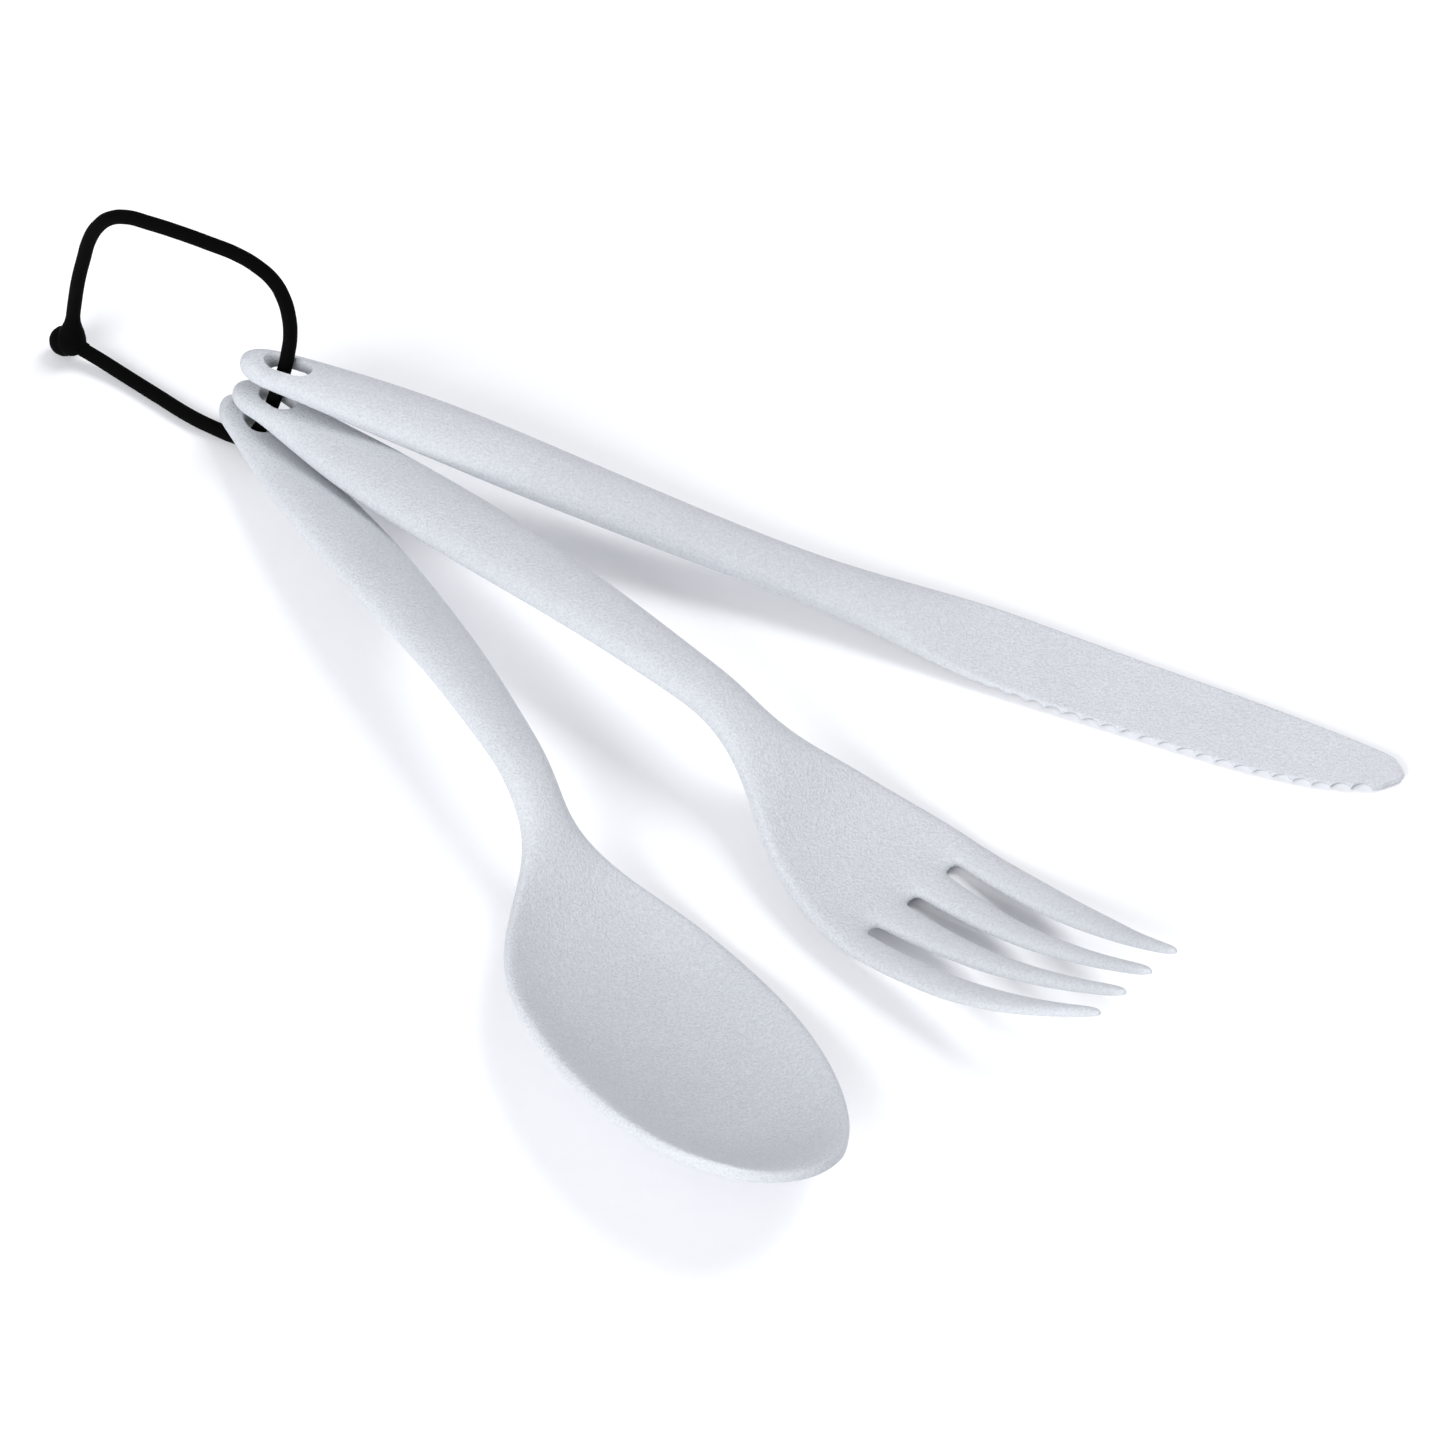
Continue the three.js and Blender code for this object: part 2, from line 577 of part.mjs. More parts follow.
function loopSolid() {
  const radius = CORD_DIAMETER / 2;
  const curve = new THREE.CatmullRomCurve3(CORD_ROUTE.map((point) => new THREE.Vector3(...point)));
  const section = new THREE.Shape();
  for (let i = 0; i < CORD_SIDES; i += 1) {
    const angle = (2 * Math.PI * i) / CORD_SIDES;
    const point = [radius * Math.cos(angle), radius * Math.sin(angle)];
    if (i === 0) section.moveTo(...point);
    else section.lineTo(...point);
  }
  const cord = toSolid(new THREE.ExtrudeGeometry(section, { steps: CORD_STEPS, extrudePath: curve }));

  // Ball on a thin neck, turned about the cord's last direction
  const neckRadius = BALL_NECK_DIAMETER / 2;
  const ballRadius = BALL_DIAMETER / 2;
  const neckLength = EYE_WALL;
  const ballMiddle = neckLength + Math.sqrt(ballRadius ** 2 - neckRadius ** 2);
  const outline = [[0, -1], [radius, -1], [radius, -0.4], [neckRadius, 0.2]].map(
    ([x, y]) => new THREE.Vector2(x, y),
  );
  const startAngle = Math.asin(neckRadius / ballRadius);
  for (let i = 0; i <= 8; i += 1) {
    const angle = Math.PI - startAngle - ((Math.PI - startAngle) * i) / 8;
    const x = i === 8 ? 0 : ballRadius * Math.sin(angle);
    outline.push(new THREE.Vector2(x, ballMiddle + ballRadius * Math.cos(angle)));
  }
  const ball = new THREE.LatheGeometry(outline, 14);
  const end = curve.getPoint(1);
  const direction = curve.getTangent(1);
  const turn = new THREE.Quaternion().setFromUnitVectors(new THREE.Vector3(0, 1, 0), direction);
  ball.applyQuaternion(turn);
  ball.translate(end.x, end.y, end.z);

  // Eye round the neck against the ball, and the taper that carries it on the first strand
  const eyeRing = neckRadius + SEAT_GAP + EYE_WALL / 2;
  const eye = new THREE.TorusGeometry(eyeRing, EYE_WALL / 2, 8, 18);
  const fromBall = Math.sqrt((ballRadius + EYE_WALL / 2 + SEAT_GAP) ** 2 - eyeRing ** 2);
  const eyeMiddle = end.clone().addScaledVector(direction, ballMiddle - fromBall);
  eye.applyQuaternion(new THREE.Quaternion().setFromUnitVectors(new THREE.Vector3(0, 0, 1), direction));
  eye.translate(eyeMiddle.x, eyeMiddle.y, eyeMiddle.z);
  const start = curve.getPoint(0);
  const eyeTop = eyeMiddle.clone().add(new THREE.Vector3(0, 0, eyeRing));
  const span = start.clone().sub(eyeTop);
  const taper = new THREE.CylinderGeometry(radius, EYE_WALL / 2, span.length() + 0.4, 12);
  taper.translate(0, span.length() / 2 + 0.2, 0);
  taper.applyQuaternion(new THREE.Quaternion().setFromUnitVectors(
    new THREE.Vector3(0, 1, 0),
    span.clone().normalize(),
  ));
  taper.translate(eyeTop.x, eyeTop.y, eyeTop.z);
  return toSolid(eye).add(toSolid(taper)).add(cord).add(toSolid(ball));
}

// Turns a utensil's own shape so that its hole is the origin
function fromHole(solid, ringHeight) {
  return toGeometry(solid).translate(-HOLE_FROM_END, 0, -ringHeight);
}

// Lowers a piece about its ring end until its lowest point is on the ground
function pitchToGround(geometry, ringHeight, heading, roll) {
  const position = geometry.attributes.position;
  const point = new THREE.Vector3();
  const lowest = (pitch) => {
    const matrix = new THREE.Matrix4().makeRotationFromEuler(new THREE.Euler(roll, pitch, heading, 'ZYX'));
    let low = Infinity;
    for (let i = 0; i < position.count; i += 1) {
      low = Math.min(low, point.fromBufferAttribute(position, i).applyMatrix4(matrix).z);
    }
    return low + ringHeight;
  };
  let high = 0.4;
  let low = -0.4;
  for (let i = 0; i < 40; i += 1) {
    const pitch = (high + low) / 2;
    if (lowest(pitch) > 0) low = pitch;
    else high = pitch;
  }
  return low;
}

const material = {
  plastic: () => new THREE.MeshStandardMaterial({ color: 0xd9dbdf, roughness: 0.6, metalness: 0 }),
  rubber: () => new THREE.MeshStandardMaterial({ color: 0x151516, roughness: 0.55, metalness: 0 }),
};

function lay(name, geometry, hole, ringHeight, heading, roll, pitch) {
  const mesh = new THREE.Mesh(geometry, material.plastic());
  mesh.name = name;
  mesh.rotation.set(roll, pitch, heading, 'ZYX');
  mesh.position.set(hole[0], hole[1], ringHeight);
  return mesh;
}

const set = new THREE.Group();

const knife = fromHole(knifeSolid(), KNIFE_RING_HEIGHT);
set.add(lay('knife', knife, KNIFE_HOLE, KNIFE_RING_HEIGHT, KNIFE_HEADING, 0, 0));

const forkParts = forkSolid();
const fork = fromHole(forkParts.solid, forkParts.ringHeight);
const forkPitch = pitchToGround(fork, FORK_RING_HEIGHT, FORK_HEADING, FORK_ROLL);
set.add(lay('fork', fork, FORK_HOLE, FORK_RING_HEIGHT, FORK_HEADING, FORK_ROLL, forkPitch));

const spoonParts = spoonSolid();
const spoon = fromHole(spoonParts.solid, spoonParts.ringHeight);
const spoonPitch = pitchToGround(spoon, SPOON_RING_HEIGHT, SPOON_HEADING, SPOON_ROLL);
set.add(lay('spoon', spoon, SPOON_HOLE, SPOON_RING_HEIGHT, SPOON_HEADING, SPOON_ROLL, spoonPitch));

const loop = new THREE.Mesh(toGeometry(loopSolid()), material.rubber());
loop.name = 'retaining_loop';
set.add(loop);

// Origin under the middle of the three utensils
const utensils = new THREE.Box3();
set.updateMatrixWorld(true);
set.children.filter((mesh) => mesh !== loop).forEach((mesh) => utensils.expandByObject(mesh, true));
const middle = utensils.getCenter(new THREE.Vector3());
set.position.set(-middle.x, -middle.y, -utensils.min.z);

const group = new THREE.Group();
group.add(set);
export default group;
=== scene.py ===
"""A travel cutlery set: moulded knife, fork and spoon threaded on one rubber loop."""

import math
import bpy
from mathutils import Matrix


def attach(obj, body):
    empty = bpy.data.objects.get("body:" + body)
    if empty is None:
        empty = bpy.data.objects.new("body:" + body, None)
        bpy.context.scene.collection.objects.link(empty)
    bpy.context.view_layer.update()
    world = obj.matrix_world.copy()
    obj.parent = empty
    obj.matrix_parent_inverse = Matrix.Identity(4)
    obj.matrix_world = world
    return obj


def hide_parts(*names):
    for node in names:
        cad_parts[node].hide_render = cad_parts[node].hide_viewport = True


bl_info = {
    "name": "Travel cutlery set",
    "version": (1, 0, 0),
    "blender": (4, 5, 0),
    "location": "3D View > Sidebar > Cutlery",
    "description": "Models a knife, a fork and a spoon on a rubber loop, and their studio",
    "category": "Object",
}

import bmesh
import bpy
from mathutils import Vector

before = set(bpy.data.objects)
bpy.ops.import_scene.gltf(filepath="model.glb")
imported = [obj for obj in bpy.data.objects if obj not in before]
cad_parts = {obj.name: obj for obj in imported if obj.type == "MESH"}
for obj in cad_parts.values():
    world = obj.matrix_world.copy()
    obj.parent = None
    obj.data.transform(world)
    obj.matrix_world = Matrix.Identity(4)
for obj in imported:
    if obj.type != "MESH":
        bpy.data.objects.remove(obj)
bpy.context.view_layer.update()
MM = 0.001

# The set's own origin in the model's frame, and how each utensil lies: the middle of its
# hole, the height of its ring end, and its roll, pitch and heading
SET_ORIGIN = Vector((-11.046, 16.793, 0.0))
KNIFE_LIES = ((-66.4, 56.2, 15.8), (0.0, 0.0, -21.8))
FORK_LIES = ((-68.9, 54.4, 10.55), (-6.0, 0.11, -42.5))
SPOON_LIES = ((-72.6, 54.8, 5.3), (-16.0, -1.07, -61.4))

# Handles, millimetres
HANDLE_THICKNESS = 5.2
RING_WIDTH = 7.2
RING_THICKNESS = 4.6
HOLE_FROM_END = 8.0
# The ring end is rounded in plan over its nose, a little narrower there on each side, and
# its first row keeps these shares of its width and thickness, so that it ends blunt
RING_NOSE = 5.0
NOSE_TAPER = 0.6
NOSE_WIDTH_SHARE = 0.42
NOSE_THICKNESS_SHARE = 0.45
NOSE_DROOP = 1.6
# Each hole's waist length and width, how far it opens out above and below, and how far its
# middle lies along and across the handle: the cord leans through all three
KNIFE_OPENING = (6.9, 2.9, 0.5, 1.4, 0.0, 0.35)
FORK_OPENING = (6.0, 3.4, 0.5, 1.3, 0.2, 0.45)
SPOON_OPENING = (4.6, 3.0, 0.6, 1.0, 0.8, 0.3)
# How deep the upper flare is, and how much the waist opens on its way up to it
MOUTH_DEPTH = 0.8
WAIST_DRAFT = 0.05
ROUND_CUT_SIDES = 40
NECK_WIDTH = 8.2
SPOON_NECK_WIDTH = 7.4
NECK_THICKNESS = 4.6
KNIFE_WAIST_WIDTH = 8.6

# An oval section's fullness, and the share of its thickness that the sides of an oval and
# of a plate keep before they are rounded
OVAL_POWER = 2.3
OVAL_SIDE = 0.24
PLATE_SIDE = 0.92

# Knife blade
SPINE_THICKNESS = 2.6
EDGE_THICKNESS = 1.3
# Over this length the tip is rounded: it narrows, bows and, as the tines do, gets thinner
KNIFE_TIP = 3.0
KNIFE_TIP_NARROWING = 0.55
KNIFE_TIP_BOW = 1.6
TIP_THINNING = 0.45
SCALLOP_PITCH = 3.0
SCALLOP_DEPTH = 0.75
SCALLOP_RADIUS = 1.8
SCALLOP_TILT = math.radians(35)
SCALLOP_CUTTER_LENGTH = 9.0
CREASE_ANGLE = math.radians(38)

# Fork head
FORK_THICKNESS = 2.4
FORK_DISH = 0.7
TINE_TIP_SPREAD = 16.8
TINE_TIP_WIDTH = 1.6
TINE_TIP_THICKNESS = 1.7
SLOT_BASE_SPACING = 8.7
SLOT_BASE_WIDTH = 2.5
# A row this far into the slots squares their ends
SLOT_END_DEPTH = 0.9
SLOT_WIDENING_POWER = 0.8
# Over this length a tine's tip is rounded
TINE_ROUNDING = 2.2
TINE_TIP_NARROWING = 0.75
TINE_TIP_BOW = 0.55
# Shares of the thickness that a tine's sides keep from a little way into the slots on, and
# the sides that the slots' ends keep from just before them
TINE_SIDE = 0.66
TINE_SIDE_FROM = 4.0
SLOT_SIDE = 0.74
SLOT_SIDE_BEFORE = 1.0

# Spoon bowl
BOWL_WALL = 2.0
# The dish fills this share of the width inside a flat rim, and its sides are steeper than
# a round bowl's, for which the power is 2
BOWL_OPENING = 0.94
BOWL_POWER = 2.7
# The bowl is drawn a little short, because rounding carries its tip past the model's
TIP_TRIM = 0.6
TIP_BOW_SHARE = 0.42
BOWL_TIP_SIDE = 0.8

# Rows of the ring end: place, and how far the outer points lag behind the middle ones
RING_ROWS = (
    (0.0, 0.9), (1.0, 0.6), (2.6, 0.25), (4.6, 0.0), (7.0, 0.0), (9.6, 0.0), (12.4, 0.0))
# How far apart the rows are from the neck on, and the bowl's last rows, as shares of its nose
BLADE_ROW_SPACING = 7.0
FORK_ROW_SPACING = 5.5
SPOON_ROW_SPACING = 5.0
TINE_ROWS = 7
KNIFE_LAST_STEP = 1.2
TINE_LAST_STEP = 0.8
BOWL_NOSE_ROWS = (0.15, 0.3, 0.44, 0.57, 0.69, 0.8, 0.89, 0.96, 1.0)
# Columns of points across a handle, blade or bowl, as shares of the half width, and the
# fork's columns that have a slot after them
COLUMNS = (-1.0, -0.92, -0.76, -0.52, -0.26, 0.0, 0.26, 0.52, 0.76, 0.92, 1.0)
FORK_COLUMNS = (-1.0, -0.86, -0.7, -0.52, -0.34, -0.12, 0.12, 0.34, 0.52, 0.7, 0.86, 1.0)
SLOT_COLUMNS = (2, 5, 8)
SMOOTHNESS = 3
# Heights this close are left as they are, and points this close are merged
LEVEL_WITHIN = 0.001
MERGE_WITHIN = 0.002

# The rubber loop's route in the set's own frame: from the eye up, round and down through
# the three holes, and back along the ground to the ball
CORD_ROUTE = (
    (-101.1, 75.1, 6.4),
    (-100.8, 75.1, 8.8),
    (-100.2, 74.9, 12.6),
    (-99.3, 74.4, 17.6),
    (-98.1, 73.9, 22.7),
    (-96.8, 73.2, 27.7),
    (-95.2, 72.4, 31.4),
    (-93.1, 71.4, 34.2),
    (-90.4, 70.1, 35.8),
    (-86.9, 68.3, 36.4),
    (-82.0, 65.9, 36.7),
    (-77.5, 63.6, 36.8),
    (-73.4, 61.5, 36.7),
    (-70.2, 59.6, 36.0),
    (-67.8, 58.2, 34.3),
    (-66.4, 57.3, 31.4),
    (-65.8, 56.9, 27.8),
    (-65.8, 56.9, 23.8),
    (-66.3, 57.2, 20.0),
    (-67.2, 56.7, 15.9),
    (-68.2, 55.75, 13.2),
    (-69.2, 54.75, 10.6),
    (-70.4, 54.1, 8.0),
    (-71.9, 53.9, 5.3),
    (-73.5, 54.8, 3.0),
    (-75.6, 56.6, 1.65),
    (-78.5, 58.5, 1.3),
    (-82.4, 61.0, 1.3),
    (-87.4, 65.0, 1.3),
    (-92.8, 69.3, 1.4),
    (-97.3, 72.4, 2.1),
    (-100, 73.9, 2.8),
)
# The round cord is drawn a hair slimmer, to stay within the model's faceted one
CORD_TRIM = 0.08

# The clasp: a ball on a neck, through an eye that is a little taller than it is wide
BALL_DIAMETER = 4.9
BALL_NECK_DIAMETER = 1.5
BALL_FROM_CORD = 2.9
BALL_DROP = 0.5
BALL_RINGS = 9
BALL_END_ANGLE = 0.12
EYE_RADIUS = 2.45
EYE_PLACE = (-101.4, 74.6, 3.9)
EYE_SHAPE = (0.95, 1.0, 1.05)
# How wide the cord's first end flares on its way to the eye: shares of that way, counted
# from the eye, and of the cord's radius
FLARE_WIDTHS = ((0.0, 1.75), (0.3, 1.7), (0.5, 1.4), (0.75, 1.08), (1.0, 0.94))
TURNED_SIDES = 24
CLASP_VOXEL = 0.11

# Camera, from the lie of the three outlines: millimetres and degrees
CAMERA_DISTANCE = 1000.0
CAMERA_ELEVATION = 50.2
FRAME_PIXELS = 1453
FOCAL_PIXELS = 6750
SENSOR = 36.0

# Studio: each soft box's place and side in metres and its power in watts
KEY_LIGHT = ((0.5, 0.35, 1.0), 0.6, 7.2)
FILL_LIGHT = ((-0.75, -1.0, 0.65), 1.0, 21.0)
ROOM_LIGHT = 0.55
FLOOR_SIZE = 6.0
FLOOR_DROP = 0.02


class CutlerySettings(bpy.types.PropertyGroup):
    """The sizes and colours that a user may change"""

    knife_length: bpy.props.FloatProperty(
        name="Knife length", description="From the ring end to the tip",
        default=187 * MM, unit="LENGTH", subtype="DISTANCE")
    fork_length: bpy.props.FloatProperty(
        name="Fork length", description="From the ring end to the tips of the tines",
        default=179.5 * MM, unit="LENGTH", subtype="DISTANCE")
    spoon_length: bpy.props.FloatProperty(
        name="Spoon length", description="From the ring end to the tip of the bowl",
        default=179.5 * MM, unit="LENGTH", subtype="DISTANCE")
    knife_handle_width: bpy.props.FloatProperty(
        name="Knife handle width", description="At the fullest part of the handle",
        default=10.4 * MM, unit="LENGTH", subtype="DISTANCE")
    fork_handle_width: bpy.props.FloatProperty(
        name="Fork handle width", description="At the fullest part of the handle",
        default=12.4 * MM, unit="LENGTH", subtype="DISTANCE")
    spoon_handle_width: bpy.props.FloatProperty(
        name="Spoon handle width", description="At the fullest part of the handle",
        default=11.8 * MM, unit="LENGTH", subtype="DISTANCE")
    blade_width: bpy.props.FloatProperty(
        name="Blade width", description="Nominal width of the blade",
        default=14.6 * MM, unit="LENGTH", subtype="DISTANCE")
    fork_width: bpy.props.FloatProperty(
        name="Fork width", description="Across the shoulders of the tines",
        default=30 * MM, unit="LENGTH", subtype="DISTANCE")
    bowl_width: bpy.props.FloatProperty(
        name="Bowl width", description="Across the widest part of the bowl",
        default=39 * MM, unit="LENGTH", subtype="DISTANCE")
    bowl_depth: bpy.props.FloatProperty(
        name="Bowl depth", description="From the rim to the deepest point",
        default=6 * MM, unit="LENGTH", subtype="DISTANCE")
    cord_diameter: bpy.props.FloatProperty(
        name="Cord diameter", description="Thickness of the rubber loop",
        default=2.4 * MM, unit="LENGTH", subtype="DISTANCE")
    plastic_colour: bpy.props.StringProperty(
        name="Plastic colour", description="sRGB hex colour of the utensils",
        default="C1C4C9")
    rubber_colour: bpy.props.StringProperty(
        name="Rubber colour", description="sRGB hex colour of the loop",
        default="020202")


# Curves and sections that the utensils share


def profile(*points):
    """A curve through (place, value) pairs that never overshoots them."""
    slopes = [0.0] * len(points)
    for i in range(1, len(points) - 1):
        before = (points[i][1] - points[i - 1][1]) / (points[i][0] - points[i - 1][0])
        after = (points[i + 1][1] - points[i][1]) / (points[i + 1][0] - points[i][0])
        if before * after > 0:
            slopes[i] = 2 * before * after / (before + after)

    def value(place):
        if place <= points[0][0]:
            return points[0][1]
        if place >= points[-1][0]:
            return points[-1][1]
        i = next(k for k in range(len(points)) if points[k][0] > place) - 1
        span = points[i + 1][0] - points[i][0]
        t = (place - points[i][0]) / span
        rise = (points[i + 1][1] - points[i][1]) * t * t * (3 - 2 * t)
        start = slopes[i] * span * t * (1 - t) ** 2
        finish = slopes[i + 1] * span * t * t * (t - 1)
        return points[i][1] + rise + start + finish

    return value


def blend(a, b, share):
    """The value that lies this share of the way from a to b."""
    return a + (b - a) * share


def handle_half_width(width, neck_place, neck_width):
    """A handle's outline: narrow at the ring end, fullest before its middle."""
    return profile(
        (0, RING_WIDTH / 2 - NOSE_TAPER),
        (HOLE_FROM_END, RING_WIDTH / 2),
        (neck_place * 0.15, RING_WIDTH * 0.35 + width * 0.15),
        (neck_place * 0.3, width * 0.475),
        (neck_place * 0.46, width / 2),
        (neck_place * 0.66, width * 0.33 + neck_width * 0.17),
        (neck_place, neck_width / 2),
    )


def handle_half_thickness(neck_place, neck_thickness):
    """A handle's side view: thinner at the ring end and at the neck."""
    return profile(
        (0, RING_THICKNESS / 2),
        (HOLE_FROM_END * 1.6, RING_THICKNESS / 2),
        (neck_place * 0.35, HANDLE_THICKNESS / 2),
        (neck_place, neck_thickness / 2),
    )


def oval(share):
    """How thick an oval section is at a share of its half width."""
    return max(OVAL_SIDE, (1 - abs(share) ** OVAL_POWER) ** (1 / OVAL_POWER))


def plate(share):
    """How thick a plate with rounded edges is at a share of its half width."""
    return PLATE_SIDE if abs(share) == 1.0 else 1.0


def round_off(distance, radius):
    """Quarter-round closing factor: 0 at an end, 1 from the radius on."""
    if distance >= radius:
        return 1.0
    return math.sqrt(max(0.0, 1 - (1 - max(distance, 0.0) / radius) ** 2))


def comes_clear(above, lies, widths):
    """How far along itself a handle comes out from under the one stacked above it."""
    angle = math.radians(abs(above[1][2] - lies[1][2]))
    return round(HOLE_FROM_END + sum(widths) / MM / 2 / math.sin(angle), 2)


def handle_places(count):
    """Where a handle's rows lie past the ring end: denser at first, then 8 mm apart."""
    return [15.5, 20] + [27 + 8 * i for i in range(count)]


def places_between(start, end, steps):
    """Even steps from one place to another, without the first."""
    return [start + (end - start) * (i + 1) / steps for i in range(steps)]


def in_frame(point):
    """A point of the set in the model's frame, in metres."""
    return (Vector(point) + SET_ORIGIN) * MM


# Modelling steps that the utensils share


def only(obj):
    """Selects one object and nothing else."""
    bpy.ops.object.select_all(action="DESELECT")
    obj.select_set(True)
    bpy.context.view_layer.objects.active = obj


def name_it(name):
    """Names the object that was just added, and its mesh."""
    obj = bpy.context.view_layer.objects.active
    obj.name = name
    obj.data.name = name
    return obj


def start_picking(mesh, kind):
    """Deselects a whole mesh in edit mode, and picks points or edges from then on."""
    bpy.context.tool_settings.mesh_select_mode = (kind == "VERT", kind == "EDGE", False)
    edit = bmesh.from_edit_mesh(mesh)
    edit.verts.ensure_lookup_table()
    for part in (edit.verts, edit.edges, edit.faces):
        for item in part:
            item.select = False
    edit.select_mode = {kind}
    return edit


def pick_points(mesh, numbers):
    """Selects points by their numbers and nothing else."""
    edit = start_picking(mesh, "VERT")
    for number in numbers:
        edit.verts[number].select = True
    edit.select_flush_mode()
    return edit


def pick_edges(mesh, pairs):
    """Selects edges by the numbers of their two ends and nothing else."""
    edit = start_picking(mesh, "EDGE")
    for a, b in pairs:
        edit.edges.get((edit.verts[a], edit.verts[b])).select = True
    edit.select_flush_mode()


def shape_row(mesh, numbers, points):
    """Spreads a row's points to their widths, then carries them to their places."""
    for left in range((len(numbers) + 1) // 2):
        right = len(numbers) - 1 - left
        pair = sorted({numbers[left], numbers[right]})
        edit = pick_points(mesh, pair)
        at = [edit.verts[numbers[i]].co.copy() for i in (left, right)]
        want = [Vector(points[i]) for i in (left, right)]
        middle = (at[0] + at[1]) / 2
        if left != right:
            factor = (want[1].y - want[0].y) / (at[1].y - at[0].y)
            bpy.ops.transform.resize(value=(1, factor, 1), center_override=middle)
        ahead = (want[0] + want[1]) / 2 - middle
        bpy.ops.transform.translate(value=ahead)
        for side, number in enumerate((numbers[left], numbers[right])):
            rise = want[side].z - at[side].z - ahead.z
            if left != right and abs(rise) > LEVEL_WITHIN * MM:
                pick_points(mesh, [number])
                bpy.ops.transform.translate(value=(0, 0, rise))


def sheet_of_rows(name, rows, gaps=()):
    """Models a sheet by extruding one row of points after another along a utensil.

    Each row is a list of points, and gaps holds the rows and columns where the sheet is
    open between two of them.
    """
    across = len(rows[0]) - 1
    # A small grid to start from, whose points are carried to the first two rows
    bpy.ops.object.select_all(action="DESELECT")
    bpy.ops.mesh.primitive_grid_add(
        x_subdivisions=1, y_subdivisions=across, size=2 * MM, location=(0, 0, 0))
    obj = name_it(name)
    mesh = obj.data
    bpy.ops.object.mode_set(mode="EDIT")
    edit = bmesh.from_edit_mesh(mesh)
    order = sorted(edit.verts, key=lambda v: (round(v.co.x, 6), v.co.y))
    first = [v.index for v in order[: across + 1]]
    last = [v.index for v in order[across + 1:]]
    shape_row(mesh, first, rows[0])
    shape_row(mesh, last, rows[1])
    numbers = [first, last]
    for index in range(2, len(rows)):
        pairs = [
            (last[i], last[i + 1]) for i in range(across) if (index, i) not in gaps
        ]
        pick_edges(mesh, pairs)
        ahead = Vector(rows[index][0]) - Vector(rows[index - 1][0])
        bpy.ops.mesh.extrude_region_move(TRANSFORM_OT_translate={"value": (ahead.x, 0, 0)})
        edit = bmesh.from_edit_mesh(mesh)
        edit.verts.index_update()
        fresh = sorted((v for v in edit.verts if v.select), key=lambda v: v.co.y)
        last = [v.index for v in fresh]
        if len(last) != across + 1:
            raise RuntimeError(f"{name}: row {index} has {len(last)} points")
        shape_row(mesh, last, rows[index])
        numbers.append(last)
    return obj, numbers


def give_thickness(obj, walls, full, smoothness):
    """Gives a sheet its thickness point by point, and rounds it."""
    bpy.ops.object.mode_set(mode="OBJECT")
    group = obj.vertex_groups.new(name="wall")
    for number, wall in walls.items():
        group.add([number], min(1.0, wall / full), "REPLACE")
    solid = obj.modifiers.new("Solidify", "SOLIDIFY")
    solid.thickness = full * MM
    solid.offset = 0
    solid.vertex_group = group.name
    rounded = obj.modifiers.new("Subdivision", "SUBSURF")
    rounded.levels = smoothness
    rounded.render_levels = smoothness
    only(obj)
    for modifier in (solid.name, rounded.name):
        bpy.ops.object.modifier_apply(modifier=modifier)
    obj.vertex_groups.clear()


def face_outwards(obj):
    """Merges what lies on the same spot and turns every face outwards."""
    only(obj)
    bpy.ops.object.mode_set(mode="EDIT")
    bpy.ops.mesh.select_all(action="SELECT")
    bpy.ops.mesh.remove_doubles(threshold=MERGE_WITHIN * MM)
    bpy.ops.mesh.normals_make_consistent(inside=False)
    bpy.ops.object.mode_set(mode="OBJECT")


def lay_down(obj, lies):
    """Turns a utensil about its hole into its place in the set."""
    hole, turn = lies
    obj.rotation_euler = [math.radians(angle) for angle in turn]
    obj.location = in_frame(hole)
    only(obj)
    bpy.ops.object.transform_apply(location=True, rotation=True, scale=True)


def model_utensil(name, columns, opening, places, point_at, gaps=()):
    """A utensil from its ring end on: rows of points, its thickness, and its hole.

    point_at(place, share, column) gives a point's sideways place, its height, how far it
    leads, and its thickness.
    """
    rows = []
    walls = {}
    for place in [row[0] for row in RING_ROWS] + places:
        lag = dict(RING_ROWS).get(place, 0.0)
        nose = max(NOSE_WIDTH_SHARE, round_off(place + lag, RING_NOSE))
        line = []
        for column, share in enumerate(columns):
            y, z, lead, thick = point_at(place, share, column)
            x = place + lead + lag * share * share - HOLE_FROM_END
            line.append((x * MM, y * nose * MM, z * MM))
            thick *= max(NOSE_THICKNESS_SHARE, round_off(place, RING_THICKNESS / 2))
            walls[len(rows), column] = thick
        rows.append(line)
    shifted = {(index + len(RING_ROWS), column) for index, column in gaps}
    obj, numbers = sheet_of_rows(name, rows, shifted)
    thickness = {numbers[row][column]: wall for (row, column), wall in walls.items()}
    give_thickness(obj, thickness, HANDLE_THICKNESS, SMOOTHNESS)
    face_outwards(obj)
    cut(obj, hole_cutter(*opening))
    return obj


